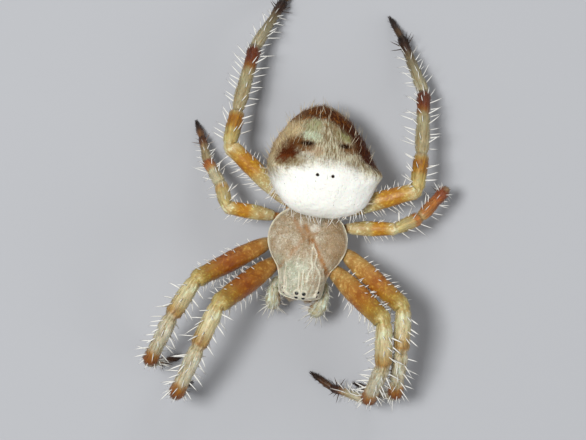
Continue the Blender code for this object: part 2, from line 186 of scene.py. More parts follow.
def refine(rows, steps, closed=False):
    """Catmull-Rom curves through an array's rows, with some steps for each row."""
    rows = np.asarray(rows, float)
    if closed:
        chain = np.concatenate((rows[-1:], rows, rows[:2]))
    else:
        chain = np.concatenate((2.0 * rows[:1] - rows[1:2], rows, 2.0 * rows[-1:] - rows[-2:-1]))
    a, b, c, d = chain[:-3], chain[1:-2], chain[2:-1], chain[3:]
    curves = []
    for step in range(steps):
        t = step / steps
        curves.append(0.5 * (2.0 * b + (c - a) * t + (2.0 * a - 5.0 * b + 4.0 * c - d) * t * t
                             + (3.0 * b - a - 3.0 * c + d) * t ** 3))
    result = np.stack(curves, axis=1).reshape(-1, *rows.shape[1:])
    return result if closed else np.concatenate((result, rows[-1:]))


def lumps(points, sizes):
    """Smooth random heights at points in millimetres: sizes are (height, lumps per mm)."""
    heights = np.zeros(points.shape[:-1])
    for height, scale in sizes:
        flat = [noise.noise(Vector(point * scale)) for point in points.reshape(-1, 3)]
        heights += height * np.array(flat).reshape(heights.shape)
    return heights


class Skin:
    """A closed surface of rings of corners, its markings' coordinates and its flat unwrap."""

    def __init__(self, rings, place, segment=None):
        self.rings = rings
        self.place = place
        self.segment = np.zeros(rings.shape[:2]) if segment is None else segment
        along = np.gradient(rings, axis=0)
        around = (np.roll(rings, -1, axis=1) - np.roll(rings, 1, axis=1)) / 2.0
        self.along = unit(along)
        self.normal = unit(np.cross(around, along))
        outward = rings - rings.mean(1, keepdims=True)
        self.inside_out = (self.normal * outward).sum() < 0.0
        if self.inside_out:
            self.normal = -self.normal
        self.area = norm(np.cross(around, along))

    def push(self, distance):
        """The same surface, moved along its normals."""
        moved = self.rings + self.normal * np.asarray(distance)[..., None]
        return Skin(moved, self.place, self.segment)

    def surface(self):
        """Its corners, faces and fields. The end rings are closed with a fan of triangles each."""
        rows, columns = self.rings.shape[:2]
        index = np.arange(rows * columns).reshape(rows, columns)
        after = np.roll(index, -1, axis=1)
        quads = np.stack((index[:-1], after[:-1], after[1:], index[1:]), axis=-1).reshape(-1, 4)
        poles = rows * columns + np.arange(2)
        fans = np.concatenate((
            np.stack((after[0], index[0], np.full(columns, poles[0])), axis=-1),
            np.stack((index[-1], after[-1], np.full(columns, poles[1])), axis=-1)))
        if self.inside_out:
            quads, fans = quads[:, ::-1], fans[:, ::-1]

        def with_poles(values):
            flat = values.reshape(rows * columns, *values.shape[2:])
            return np.concatenate((flat, values[[0, -1]].mean(1)))

        return {"points": with_poles(self.rings), "quads": quads, "triangles": fans,
                "place": with_poles(self.place), "segment": with_poles(self.segment)}

    def roots(self, rng, count, weight=None):
        """Random places on the surface, by its area and by a weight for each of its cells."""
        area = self.area if weight is None else self.area * weight
        cells = area[:-1].ravel()
        columns = area.shape[1]
        picked = rng.choice(len(cells), count, p=cells / cells.sum())
        return self.at(picked // columns + rng.random(count), picked % columns + rng.random(count))

    def at(self, row, column):
        """What the surface has at these places, given as numbers of rings and of columns."""
        rows, columns = self.rings.shape[:2]
        row = np.clip(row, 0.0, rows - 1.001)
        i, k = row.astype(int), column.astype(int) % columns
        s, t = (row - i)[:, None], (column - np.floor(column))[:, None]
        j, m = i + 1, (k + 1) % columns

        def blend(values):
            return ((values[i, k] * (1.0 - t) + values[i, m] * t) * (1.0 - s)
                    + (values[j, k] * (1.0 - t) + values[j, m] * t) * s)

        return {
            "point": blend(self.rings), "normal": unit(blend(self.normal)),
            "along": unit(blend(self.along)), "place": blend(self.place),
            "segment": blend(self.segment[..., None])[:, 0],
            "uv": np.stack((column / columns % 1.0, row / rows), axis=-1),
        }


def add_piece(name, parts, material, nodes=()):
    """One mesh object of some surfaces or batches of bristles."""
    firsts = np.cumsum([0] + [len(part["points"]) for part in parts])
    faces = [np.concatenate([part[kind] + first for part, first in zip(parts, firsts)])
             for kind in ("quads", "triangles")]
    fields = {field: np.concatenate([part[field] for part in parts]).astype(np.float32)
              for field in parts[0] if field not in ("quads", "triangles")}
    mesh = bpy.data.meshes.new(name)
    mesh.from_pydata(fields["points"], (), [*faces[0].tolist(), *faces[1].tolist()])
    mesh.shade_smooth()
    place = mesh.attributes.new("place", "FLOAT_VECTOR", "POINT")
    place.data.foreach_set("vector", fields["place"].ravel())
    segment = mesh.attributes.new("segment", "FLOAT", "POINT")
    segment.data.foreach_set("value", fields["segment"])
    if "uv" in fields:
        corners = np.concatenate([group.ravel() for group in faces])
        layer = mesh.uv_layers.new(name="OFBake")
        layer.data.foreach_set("uv", fields["uv"][corners].ravel())
    settle(mesh, (0.0, 0.0, 0.0), material, nodes)


def settle(mesh, location, material, nodes):
    """Makes a mesh a piece, with its material and its part in the frame."""
    obj = bpy.data.objects.new(mesh.name, mesh)
    bpy.context.collection.objects.link(obj)
    obj.location = location
    obj.data.materials.append(material)
    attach(obj, "root")
    if nodes:
        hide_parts(*nodes)


# ---- Bristles ----------------------------------------------------------------------------

BRISTLE_SINK = 0.06           # share of a bristle's length that is under the skin
BRISTLE_FLOOR = 0.02          # the lowest a bristle reaches
BRISTLE_TAPER = 0.5
BRISTLE_ANGLES = [2.0 * math.pi * corner / 3.0 for corner in range(3)]
LENGTH_LIMITS = (0.4, 1.6)    # shares of their mean length that random bristles keep within
PATCH = 0.0015                # half the width of a bristle's patch on the unwrap


def bristles(roots, length, width, lean, turn, sag, rings):
    """Three-sided tapered bristles, each with its patch on the skin's unwrap. lean is a
    bristle's angle from the skin's normal towards the tip of the limb, turn its angle sideways,
    and sag how much it bends back to the skin."""
    count = len(roots["point"])
    length, width, lean, turn = (np.broadcast_to(value, (count,))[:, None]
                                 for value in (length, width, lean, turn))
    normal, along = roots["normal"], roots["along"]
    along = unit(along - normal * (along * normal).sum(1, keepdims=True))
    sideways = np.cross(normal, along)
    flat = along * np.cos(turn) + sideways * np.sin(turn)
    start = normal * np.cos(lean) + flat * np.sin(lean)
    side = unit(np.cross(start, flat + normal * 0.01))
    across = np.cross(side, start)
    points, patches = [], []
    for share in np.linspace(-BRISTLE_SINK, 1.0, rings + 1):
        out = max(share, 0.0)
        bend = (flat - normal * np.cos(lean)) * sag * out ** 2
        middle = roots["point"] + (start * share + bend) * length
        thick = width / 2.0 * (1.0 - out) ** BRISTLE_TAPER
        for angle in BRISTLE_ANGLES if share < 1.0 else BRISTLE_ANGLES[:1]:
            points.append(middle + (side * math.cos(angle) + across * math.sin(angle)) * thick)
        patches += [(-1.0, share), (0.0, -1.0), (1.0, share)] if share < 1.0 else [(0.0, 1.0)]
    tip = 3 * rings
    edges = ((0, 1), (1, 2), (2, 0))
    quads = [(low + a, low + b, low + b + 3, low + a + 3) for low in range(0, tip - 3, 3)
             for a, b in edges]
    triangles = [(2, 1, 0), *((tip - 3 + a, tip - 3 + b, tip) for a, b in edges)]
    firsts = np.arange(count)[:, None, None] * (tip + 1)
    points = np.stack(points, axis=1).reshape(-1, 3)
    points[:, 2] = np.maximum(points[:, 2], BRISTLE_FLOOR * MM)
    return {
        "points": points,
        "quads": (np.array(quads) + firsts).reshape(-1, 4),
        "triangles": (np.array(triangles) + firsts).reshape(-1, 3),
        "place": np.repeat(roots["place"], tip + 1, axis=0),
        "segment": np.repeat(roots["segment"], tip + 1),
        "uv": (roots["uv"][:, None] + np.array(patches) * PATCH).reshape(-1, 2),
    }


def hairs(rng, roots, length, width, lean, turn=0.0, vary=0.25, sag=0.1, rings=2):
    """Bristles of random sizes, in millimetres. lean is a mean angle and its spread, and turn
    a spread, in degrees. vary is the spread of their lengths, as a share."""
    count = len(roots["point"])
    length = length * MM * np.clip(rng.normal(1.0, vary, count), *LENGTH_LIMITS)
    lean = np.radians(rng.normal(*lean, count))
    turn = np.radians(rng.normal(0.0, turn, count)) if turn else 0.0
    return bristles(roots, length, width * MM, lean, turn, sag, rings)


# ---- Materials ---------------------------------------------------------------------------

COAT_LOOK = {"roughness": 0.5, "specular_ior_level": 0.15}
GLOW_DEPTH = 0.0003           # how far light spreads in the skins, in metres


class Shader:
    """One material. Each method adds a node and returns its output."""

    def __init__(self, name, **settings):
        self.material = bpy.data.materials.new(name)
        self.material.use_nodes = True
        self.tree = self.material.node_tree
        self.surface = self.tree.nodes["Principled BSDF"]
        for setting, value in settings.items():
            title = setting.replace("_", " ").title().replace("Ior", "IOR")
            self.surface.inputs[title].default_value = value

    def add(self, kind, inputs, output=0, **options):
        node = self.tree.nodes.new(kind)
        for option, value in options.items():
            setattr(node, option, value)
        for socket, value in inputs.items():
            if isinstance(value, bpy.types.NodeSocket):
                self.tree.links.new(value, node.inputs[socket])
            else:
                node.inputs[socket].default_value = value
        return node.outputs[output]

    def place(self):
        return self.add("ShaderNodeAttribute", {}, "Vector", attribute_name="place")

    def segment(self):
        return self.add("ShaderNodeAttribute", {}, "Fac", attribute_name="segment")

    def math(self, operation, a, b=0.0):
        return self.add("ShaderNodeMath", {0: a, 1: b}, operation=operation)

    def times(self, a, b):
        return self.math("MULTIPLY", a, b)

    def vector(self, operation, a, b=(0.0, 0.0, 0.0)):
        output = "Value" if operation == "LENGTH" else "Vector"
        return self.add("ShaderNodeVectorMath", {0: a, 1: b}, output, operation=operation)

    def axis(self, vector, name):
        return self.add("ShaderNodeSeparateXYZ", {0: vector}, name)

    def mix(self, factor, a, b, blend="MIX"):
        return self.add("ShaderNodeMix", {0: factor, 6: rgba(a), 7: rgba(b)}, 2,
                        data_type="RGBA", blend_type=blend)

    def tone(self, factor, colour, tint):
        """The colour, multiplied by a tint where the factor is 1."""
        return self.mix(factor, colour, self.mix(1.0, colour, tint, "MULTIPLY"))

    def noise(self, vector, scale, detail=3.0, stretch=(1.0, 1.0, 1.0), roughness=0.55):
        stretched = self.vector("MULTIPLY", vector, stretch)
        return self.add("ShaderNodeTexNoise", {"Vector": stretched, "Scale": scale,
                                               "Detail": detail, "Roughness": roughness}, "Fac")

    def cells(self, vector, scale):
        return self.add("ShaderNodeTexVoronoi", {"Vector": vector, "Scale": scale}, "Distance")

    def wobble(self, vector, scale, detail):
        """Smooth random offsets, with each part of them from -0.5 to 0.5."""
        inputs = {"Vector": vector, "Scale": scale, "Detail": detail}
        colour = self.add("ShaderNodeTexNoise", inputs, "Color")
        return self.vector("SUBTRACT", colour, (0.5, 0.5, 0.5))

    def moved(self, vector, offset, share):
        return self.vector("ADD", vector, self.vector("MULTIPLY", offset, (share, share, share)))

    def rise(self, value, low, high):
        """0 below low and 1 above high, or the other way where low is the greater."""
        return self.add("ShaderNodeMapRange", {0: value, 1: low, 2: high},
                        interpolation_type="SMOOTHSTEP")

    def blob(self, place, centre, radii, softness=0.3):
        """1 inside an oval on the unrolled body, falling to 0 just outside it."""
        offset = self.vector("SUBTRACT", place, (*centre, 0.0))
        scaled = self.vector("MULTIPLY", offset, (1.0 / radii[0], 1.0 / radii[1], 0.0))
        return self.rise(self.vector("LENGTH", scaled), 1.0 + softness, 1.0 - softness)

    def ramp(self, value, stops):
        node = self.tree.nodes.new("ShaderNodeValToRGB")
        self.tree.links.new(value, node.inputs[0])
        elements = node.color_ramp.elements
        while len(elements) < len(stops):
            elements.new(1.0)
        for element, (position, colour) in zip(elements, stops):
            element.position = position
            element.color = rgba(colour)
        return node.outputs[0]

    def finish(self, colour, height=None, depth=0.0):
        """Sets the colour, and relief of the given depth in millimetres."""
        if isinstance(colour, bpy.types.NodeSocket):
            self.tree.links.new(colour, self.surface.inputs["Base Color"])
        else:
            self.surface.inputs["Base Color"].default_value = rgba(colour)
        if height is not None:
            bump = self.add("ShaderNodeBump", {"Height": height, "Distance": depth * MM,
                                               "Strength": 1.0})
            self.tree.links.new(bump, self.surface.inputs["Normal"])
        return self.material


def rgba(colour):
    return colour if isinstance(colour, bpy.types.NodeSocket) else (*colour, 1.0)


# ---- Limbs -------------------------------------------------------------------------------

def spaced(shape, length):
    """A segment's shape with stations between its own, about RING_SPACING apart."""
    shares, sizes = zip(*shape)
    stations = [shares[0]]
    for start, end in zip(shares, shares[1:]):
        count = max(1, round((end - start) * length / (RING_SPACING * MM)))
        stations.extend(start + (end - start) * np.arange(1, count + 1) / count)
    smooth = refine(np.array((shares, sizes)).T, SHAPE_STEPS)
    return [(share, float(np.interp(share, smooth[:, 0], smooth[:, 1]))) for share in stations]


def folded(distance, margin):
    """Keeps a distance below 0, pressing together what comes nearer to it than the margin."""
    pressed = -margin * margin / (2.0 * margin + np.maximum(distance, -margin))
    return np.where(distance < -margin, distance, pressed)


def section(direction, up, corners):
    """The upper side of a section across a direction, and spokes round it from there."""
    up = unit(up - direction * up.dot(direction))
    angles = 2.0 * np.pi * np.arange(corners) / corners
    return up, np.outer(np.cos(angles), up) + np.outer(np.sin(angles), np.cross(direction, up))


def limb_stations(joints, directions, lengths, radii, shapes):
    """Along a limb: (centre, direction, radius, segment number, index of its segment)."""
    stations = []
    for i, (radius, shape) in enumerate(zip(radii, shapes)):
        direction = directions[i]
        for share, size in spaced(shape, lengths[i]):
            centre = joints[i] + direction * lengths[i] * share
            stations.append((centre, direction, radius * size, i + share, i))
        last = stations[-1][2]
        if i + 1 < len(radii):
            after, radius_after = directions[i + 1], radii[i + 1] * shapes[i + 1][0][1]
            for t in (np.arange(JOINT_RINGS) + 0.5) / JOINT_RINGS:
                thick = (last * (1.0 - t) + radius_after * t) * JOINT_SHRINK
                between = unit(direction * (1.0 - t) + after * t)
                stations.append((joints[i + 1], between, thick, i + 1.0, i + int(t > 0.5)))
    for turn in np.radians(TIP_TURNS):
        ahead = centre + direction * (last * math.sin(turn))
        stations.append((ahead, direction, last * math.cos(turn), i + 1.0, i))
    return stations


def limb(joints, radii, shapes, corners):
    """The skin of a jointed limb: straight segments with a ball of membrane at each bend."""
    joints = np.asarray(joints)
    directions, lengths = unit(np.diff(joints, axis=0)), norm(np.diff(joints, axis=0))
    stations = limb_stations(joints, directions, lengths, radii, shapes)
    mitres = [None, *unit(directions[:-1] + directions[1:]), None]
    up = UP - directions[0] * UP.dot(directions[0])
    angles = 2.0 * np.pi * np.arange(corners) / corners
    rings, place, segment = [], [], []
    arc, before = 0.0, stations[0][0]
    for centre, direction, radius, number, i in stations:
        up, spokes = section(direction, up, corners)
        radius = radius - SKIN_DEPTH * MM
        ring = centre + spokes * radius
        for end, way in ((i, -1.0), (i + 1, 1.0)):
            if mitres[end] is not None:
                past = (ring - joints[end]) @ mitres[end] * way
                moved = folded(past, JOINT_FOLD * MM) - past
                ring = ring + np.outer(moved * way / direction.dot(mitres[end]), direction)
        rings.append(ring)
        arc += norm(centre - before) / MM
        before = centre
        place.append(np.stack((np.full(corners, arc), np.sin(angles) * radius / MM,
                               np.cos(angles) * radius / MM), axis=-1))
        segment.append(np.full(corners, number))
    return Skin(np.array(rings), np.array(place), np.array(segment))


def tube(centres, radii, corners, steps=6):
    """The skin of a smooth bent rod that ends in rounded tips."""
    path = refine(np.column_stack((centres, radii)), steps)
    centres, radii = path[:, :3], path[:, 3]
    directions = unit(np.gradient(centres, axis=0))
    turns = np.radians(TIP_TURNS)
    first, last = (centres[end] + np.outer(np.sin(turns), directions[end]) * radii[end] * way
                   for end, way in ((0, -1.0), (-1, 1.0)))
    centres = np.concatenate((first[::-1], centres, last))
    radii = np.concatenate((radii[0] * np.cos(turns)[::-1], radii, radii[-1] * np.cos(turns)))
    directions = np.pad(directions, ((len(turns), len(turns)), (0, 0)), "edge")
    up = UP if abs(directions[0][2]) < 0.8 else np.array((0.0, -1.0, 0.0))
    rings = []
    for centre, direction, radius in zip(centres, directions, radii):
        up, spokes = section(direction, up, corners)
        rings.append(centre + spokes * radius)
    return Skin(np.array(rings), np.array(rings) / MM)


# ---- Markings ----------------------------------------------------------------------------

CREAM = (0.95, 0.955, 0.88)
HAIR_TAN = (0.52, 0.42, 0.27)
SPINE_WHITE = (0.93, 0.92, 0.86)
TAR = (0.018, 0.008, 0.004)
CLAW_BROWN = (0.022, 0.01, 0.006)
FANG_BROWN = (0.028, 0.01, 0.006)
EYE_BLACK = (0.01, 0.007, 0.006)

# Bands of the limbs: (segment and share of it, colour). Segment 0 is the coxa.
FRONT_FEMUR_BANDS = {
    "right": (
        (0.0, (0.42, 0.29, 0.12)), (0.66, (0.5, 0.35, 0.14)), (0.97, (0.46, 0.31, 0.13)),
        (1.07, (0.48, 0.32, 0.13)), (1.14, (0.4, 0.19, 0.045)), (1.25, (0.38, 0.175, 0.032)),
        (1.42, (0.29, 0.096, 0.008)), (1.62, (0.27, 0.072, 0.004)), (1.74, (0.29, 0.1, 0.006)),
        (1.85, (0.33, 0.17, 0.018)),
    ),
    "left": (
        (0.0, (0.48, 0.36, 0.17)), (0.66, (0.54, 0.4, 0.18)), (0.97, (0.48, 0.33, 0.14)),
        (1.06, (0.52, 0.34, 0.13)), (1.25, (0.48, 0.28, 0.08)), (1.42, (0.42, 0.2, 0.04)),
        (1.58, (0.36, 0.13, 0.015)), (1.72, (0.35, 0.14, 0.012)), (1.85, (0.38, 0.21, 0.024)),
    ),
}
FRONT_LEG_BANDS = (
    (1.93, (0.36, 0.24, 0.05)), (2.03, (0.48, 0.37, 0.13)), (2.2, (0.6, 0.546, 0.319)),
    (2.62, (0.53, 0.458, 0.252)), (2.8, (0.42, 0.285, 0.097)), (2.93, (0.36, 0.205, 0.055)),
    (3.02, (0.51, 0.458, 0.286)), (3.14, (0.56, 0.518, 0.374)), (3.66, (0.54, 0.486, 0.326)),
    (3.77, (0.36, 0.17, 0.03)), (3.86, (0.26, 0.09, 0.009)), (3.97, (0.17, 0.044, 0.004)),
    (4.04, (0.52, 0.46, 0.3)), (4.48, (0.48, 0.42, 0.26)), (4.66, (0.22, 0.095, 0.025)),
    (4.78, (0.06, 0.016, 0.004)), (4.98, (0.026, 0.008, 0.003)), (5.06, (0.1, 0.045, 0.015)),
    (5.45, (0.07, 0.028, 0.01)), (5.8, (0.018, 0.007, 0.003)),
)
REAR_FEMUR_BANDS = (
    (0.0, (0.38, 0.25, 0.1)), (0.7, (0.46, 0.26, 0.08)), (1.0, (0.36, 0.15, 0.03)),
    (1.07, (0.58, 0.46, 0.24)), (1.36, (0.54, 0.43, 0.2)), (1.51, (0.49, 0.35, 0.12)),
    (1.6, (0.46, 0.21, 0.016)), (1.79, (0.43, 0.18, 0.01)), (1.89, (0.5, 0.32, 0.075)),
    (1.96, (0.62, 0.51, 0.26)), (2.06, (0.47, 0.39, 0.15)),
)
THIRD_LEG_BANDS = {
    "right": (
        (2.4, (0.48, 0.4, 0.18)), (2.66, (0.46, 0.35, 0.13)), (2.78, (0.44, 0.26, 0.075)),
        (2.92, (0.5, 0.43, 0.23)), (3.04, (0.52, 0.47, 0.29)), (3.46, (0.5, 0.45, 0.27)),
        (3.6, (0.44, 0.25, 0.07)), (3.72, (0.42, 0.15, 0.022)), (3.94, (0.3, 0.085, 0.01)),
        (4.04, (0.42, 0.34, 0.18)), (4.36, (0.36, 0.28, 0.14)),
    ),
    "left": (
        (2.4, (0.48, 0.4, 0.18)), (2.66, (0.46, 0.33, 0.12)), (2.76, (0.42, 0.15, 0.025)),
        (2.9, (0.42, 0.19, 0.04)), (3.02, (0.48, 0.34, 0.14)), (3.14, (0.44, 0.18, 0.035)),
        (3.45, (0.38, 0.135, 0.018)), (3.72, (0.28, 0.065, 0.005)), (3.94, (0.2, 0.04, 0.003)),
        (4.04, (0.38, 0.28, 0.13)), (4.36, (0.34, 0.25, 0.115)),
    ),
}
THIRD_FOOT_BANDS = (
    (4.62, (0.27, 0.18, 0.08)), (4.74, (0.13, 0.04, 0.008)), (4.97, (0.04, 0.012, 0.003)),
    (5.06, (0.16, 0.075, 0.025)), (5.34, (0.14, 0.06, 0.02)), (5.52, (0.04, 0.014, 0.005)),
    (5.85, (0.015, 0.006, 0.003)),
)
FOURTH_LEG_BANDS = (
    (2.4, (0.44, 0.34, 0.11)), (2.5, (0.34, 0.16, 0.014)), (2.78, (0.3, 0.115, 0.005)),
    (2.9, (0.36, 0.23, 0.06)), (3.0, (0.41, 0.35, 0.2)), (3.3, (0.35, 0.294, 0.158)),
    (3.6, (0.33, 0.272, 0.135)), (3.68, (0.22, 0.08, 0.008)), (3.76, (0.15, 0.028, 0.002)),
    (3.95, (0.1, 0.02, 0.002)), (4.02, (0.37, 0.34, 0.22)), (4.32, (0.29, 0.255, 0.15)),
    (4.64, (0.15, 0.115, 0.058)), (4.75, (0.04, 0.014, 0.004)), (4.97, (0.014, 0.005, 0.002)),
    (5.06, (0.075, 0.042, 0.018)), (5.32, (0.08, 0.045, 0.02)), (5.5, (0.024, 0.01, 0.005)),
    (5.85, (0.013, 0.006, 0.003)),
)
PALP_BANDS = (
    (0.0, (0.36, 0.24, 0.11)), (1.0, (0.42, 0.37, 0.21)), (2.2, (0.48, 0.48, 0.34)),
    (4.5, (0.5, 0.5, 0.36)), (5.6, (0.48, 0.47, 0.32)), (6.0, (0.38, 0.31, 0.16)),
)
PALP_INNER = (0.36, 0.19, 0.045)
SEGMENTS_END = 6.0            # the segment number at a limb's tip
# What varies the bands: (scale of the noise, its detail, its stretch, its levels, the segments
# that it fades in over, tint)
LIMB_TONES = (
    (1.3, 4.0, (1.0, 1.0, 1.0), (0.42, 0.66), (2.9, 1.8), (0.8, 0.66, 0.48)),
    (1.7, 2.0, (0.6, 1.0, 1.0), (0.52, 0.72), (), (1.22, 1.4, 1.6)),
    (5.5, 3.0, (0.14, 1.5, 1.5), (0.46, 0.64), (1.85, 2.15), (1.32, 1.27, 1.27)),
    (4.5, 3.0, (0.12, 1.5, 1.5), (0.5, 0.36), (1.7, 2.2), (0.72, 0.62, 0.46)),
    (5.0, 3.0, (1.0, 1.0, 1.0), (0.52, 0.62), (2.3, 1.9), (1.32, 1.6, 2.1)),
)


def limb_colour(shader, bands):
    """Bands with ragged edges, then blotches, a glow, streaks, dark lines and pale specks."""
    place, segment = shader.place(), shader.segment()
    ragged = shader.math("SUBTRACT", shader.noise(place, 2.2, stretch=(0.5, 1.6, 1.6)), 0.5)
    shifted = shader.math("ADD", segment, shader.times(ragged, 0.16))
    share = shader.math("DIVIDE", shifted, SEGMENTS_END)
    colour = shader.ramp(share, [(position / SEGMENTS_END, tone) for position, tone in bands])
    for scale, detail, stretch, levels, reach, tint in LIMB_TONES:
        spots = shader.rise(shader.noise(place, scale, detail, stretch), *levels)
        if reach:
            spots = shader.times(spots, shader.rise(segment, *reach))
        colour = shader.tone(spots, colour, tint)
    return colour


# Marks on the abdomen, placed as abdomen_colour says: (across and along, half sizes, share,
# softness, colour)
ABDOMEN_MARKS = (
    ((-1.97, 4.2), (0.6, 0.38), 0.7, 0.6, (0.54, 0.52, 0.44)),
    ((-1.31, 4.58), (0.6, 0.34), 0.7, 0.6, (0.48, 0.35, 0.22)),
    ((1.3, 4.45), (0.9, 0.35), 0.5, 0.6, (0.56, 0.5, 0.36)),
    ((-3.6, 5.3), (0.86, 1.85), 0.9, 0.5, (0.6, 0.46, 0.25)),
    ((0.7, 6.3), (0.75, 0.55), 0.6, 0.6, (0.28, 0.21, 0.1)),
    ((-1.73, 5.6), (0.8, 0.34), 0.85, 0.7, (0.54, 0.6, 0.42)),
    ((-1.8, 6.38), (0.78, 0.44), 0.75, 0.7, (0.38, 0.39, 0.21)),
    ((1.4, 5.74), (0.66, 0.34), 0.75, 0.7, (0.28, 0.27, 0.1)),
    ((-2.75, 5.12), (0.72, 0.44), 0.95, 0.6, (0.14, 0.055, 0.014)),
    ((-2.15, 4.94), (0.8, 0.32), 0.9, 0.6, (0.15, 0.06, 0.016)),
    ((1.7, 4.96), (0.9, 0.3), 0.9, 0.6, (0.17, 0.075, 0.024)),
    ((-2.6, 3.92), (0.66, 0.5), 0.75, 0.6, (0.24, 0.17, 0.075)),
    ((-3.0, 4.3), (0.6, 0.68), 1.0, 0.5, (0.07, 0.015, 0.003)),
    ((-3.1, 3.95), (0.34, 0.24), 0.5, 0.8, (0.18, 0.045, 0.009)),
    ((3.75, 3.45), (0.35, 0.3), 0.6, 0.6, (0.6, 0.48, 0.32)),
    ((-3.6, 7.1), (1.0, 0.55), 0.9, 0.6, (0.1, 0.035, 0.008)),
    ((-2.2, 7.4), (1.5, 0.55), 1.0, 0.5, (0.08, 0.024, 0.005)),
    ((-0.3, 7.4), (1.5, 0.58), 1.0, 0.5, (0.07, 0.02, 0.004)),
    ((1.3, 7.1), (1.2, 0.64), 1.0, 0.5, (0.062, 0.015, 0.003)),
    ((2.3, 6.6), (1.05, 0.8), 1.0, 0.45, (0.055, 0.012, 0.002)),
    ((3.1, 6.0), (1.1, 1.0), 1.0, 0.45, (0.05, 0.01, 0.002)),
    ((3.15, 5.1), (1.1, 0.9), 1.0, 0.45, (0.05, 0.01, 0.002)),
    ((3.2, 4.4), (0.8, 0.62), 1.0, 0.45, (0.05, 0.01, 0.002)),
)
# Black pits, on the upper side only: (across and along, half sizes, softness)
ABDOMEN_PITS = (
    ((-0.96, 2.96), (0.12, 0.11), 0.3), ((0.13, 2.95), (0.12, 0.11), 0.3),
    ((-1.95, 5.06), (0.55, 0.16), 0.6), ((1.25, 5.12), (0.52, 0.14), 0.6),
)


def abdomen_colour(shader):
    """place is (across, along, up): across and up are 3.8 times the sine and cosine of the
    angle from the middle of the back, and along is the distance from the front."""
    place = shader.place()
    warp = shader.wobble(place, 1.7, 5.0)
    bent = shader.moved(place, warp, 0.8)
    bent = shader.moved(bent, shader.wobble(place, 7.0, 3.0), 0.7)
    across, along, up = (shader.axis(bent, axis) for axis in "XYZ")
    fine = shader.noise(place, 9.0, detail=4.0)
    streaks = shader.rise(shader.noise(place, 6.0, stretch=(1.6, 0.35, 1.0)), 0.4, 0.6)

    pits = shader.rise(shader.cells(place, 1.7), 0.1, 0.05)
    front = shader.mix(shader.times(pits, 0.8), CREAM, (0.42, 0.43, 0.34))
    rear = shader.mix(streaks, (0.2, 0.14, 0.066), (0.55, 0.5, 0.35))
    curve = shader.times(shader.times(across, across), 0.09)
    border = shader.rise(shader.math("ADD", along, curve), 3.15, 4.45)
    colour = shader.mix(border, front, rear)
    for centre, radii, share, softness, tone in ABDOMEN_MARKS:
        mark = shader.blob(bent, centre, radii, softness)
        colour = shader.mix(shader.times(mark, share), colour, tone)
    mottled = shader.times(shader.rise(fine, 0.45, 0.7), border)
    colour = shader.tone(mottled, colour, (1.2, 1.28, 1.3))
    rusty = shader.rise(shader.noise(place, 3.6, detail=4.0), 0.5, 0.62)
    rusty = shader.times(rusty, shader.rise(along, 5.9, 7.1))
    colour = shader.mix(shader.times(rusty, 0.65), colour, (0.34, 0.125, 0.02))

    side = shader.mix(streaks, (0.36, 0.24, 0.105), (0.66, 0.54, 0.32))
    colour = shader.mix(shader.rise(up, -0.7, -1.7), colour, side)
    venter = shader.mix(fine, (0.03, 0.018, 0.01), (0.06, 0.035, 0.018))
    colour = shader.mix(shader.rise(up, -2.3, -3.0), colour, venter)
    below = shader.rise(up, 0.0, -0.5)
    for way in (-1.0, 1.0):
        mark = shader.blob(bent, (1.35 * way, 3.4), (0.3, 0.95))
        colour = shader.mix(shader.times(mark, below), colour, (0.58, 0.5, 0.3))
    above = shader.rise(up, 0.5, 1.0)
    steady = shader.moved(place, warp, 0.12)
    for centre, radii, softness in ABDOMEN_PITS:
        mark = shader.blob(steady, centre, radii, softness)
        colour = shader.mix(shader.times(mark, above), colour, TAR)
    return colour


def carapace_colour(shader):
    """place is (across, along, height) from the fovea, with the head towards -Y. segment is
    above 0 on the pale ridges and below 0 in the grooves, which are painted dark brown both
    as their own colour and as painted shade."""
    place, line = shader.place(), shader.segment()
    across, along, height = (shader.axis(place, axis) for axis in "XYZ")
    fine = shader.noise(place, 9.0, detail=5.0)
    patches = shader.rise(shader.noise(place, 2.2, detail=5.0), 0.36, 0.64)
    colour = shader.mix(patches, (0.37, 0.264, 0.146), (0.49, 0.41, 0.285))
    darker = shader.times(shader.rise(across, 0.4, 1.8), 0.75)
    colour = shader.mix(darker, colour, (0.34, 0.222, 0.108))
    head = shader.mix(shader.rise(across, 0.1, 0.5), (0.44, 0.44, 0.31), (0.44, 0.36, 0.24))
    paler = shader.rise(shader.noise(place, 3.0, stretch=(1.6, 0.6, 1.0)), 0.44, 0.66)
    head = shader.mix(paler, head, (0.58, 0.56, 0.42))
    colour = shader.mix(shader.rise(along, -1.0, -2.1), colour, head)
    block = shader.blob(place, (0.42, 0.75), (0.36, 0.26), 0.3)
    colour = shader.mix(shader.times(block, 0.7), colour, (0.74, 0.7, 0.58))
    stipple = shader.rise(shader.cells(place, 5.6), 0.34, 0.14)
    colour = shader.tone(shader.times(stipple, 0.7), colour, (0.55, 0.46, 0.36))
    colour = shader.tone(shader.rise(fine, 0.48, 0.66), colour, (1.28, 1.34, 1.45))
    elsewhere = shader.vector("ADD", place, (5.0, 3.0, 0.0))
    grains = shader.rise(shader.cells(elsewhere, 6.2), 0.34, 0.16)
    colour = shader.tone(shader.times(grains, 0.8), colour, (1.5, 1.6, 1.75))
    rim = shader.rise(height, 0.36, 0.14)
    colour = shader.mix(shader.times(rim, 0.8), colour, (0.78, 0.72, 0.55))
    broken = shader.rise(shader.noise(place, 2.5, detail=3.0), 0.25, 0.65)
    line = shader.times(line, shader.math("ADD", shader.times(broken, 0.5), 0.7))
    # Painted shade: below 0 the lines darken to brown, partly the grooves' own colour and partly
    # the shade that falls in them.
    colour = shader.mix(shader.rise(line, -0.08, -0.95), colour, (0.37, 0.175, 0.05))
    return shader.mix(shader.rise(line, 0.12, 0.95), colour, (0.84, 0.79, 0.62))


# ---- Legs --------------------------------------------------------------------------------

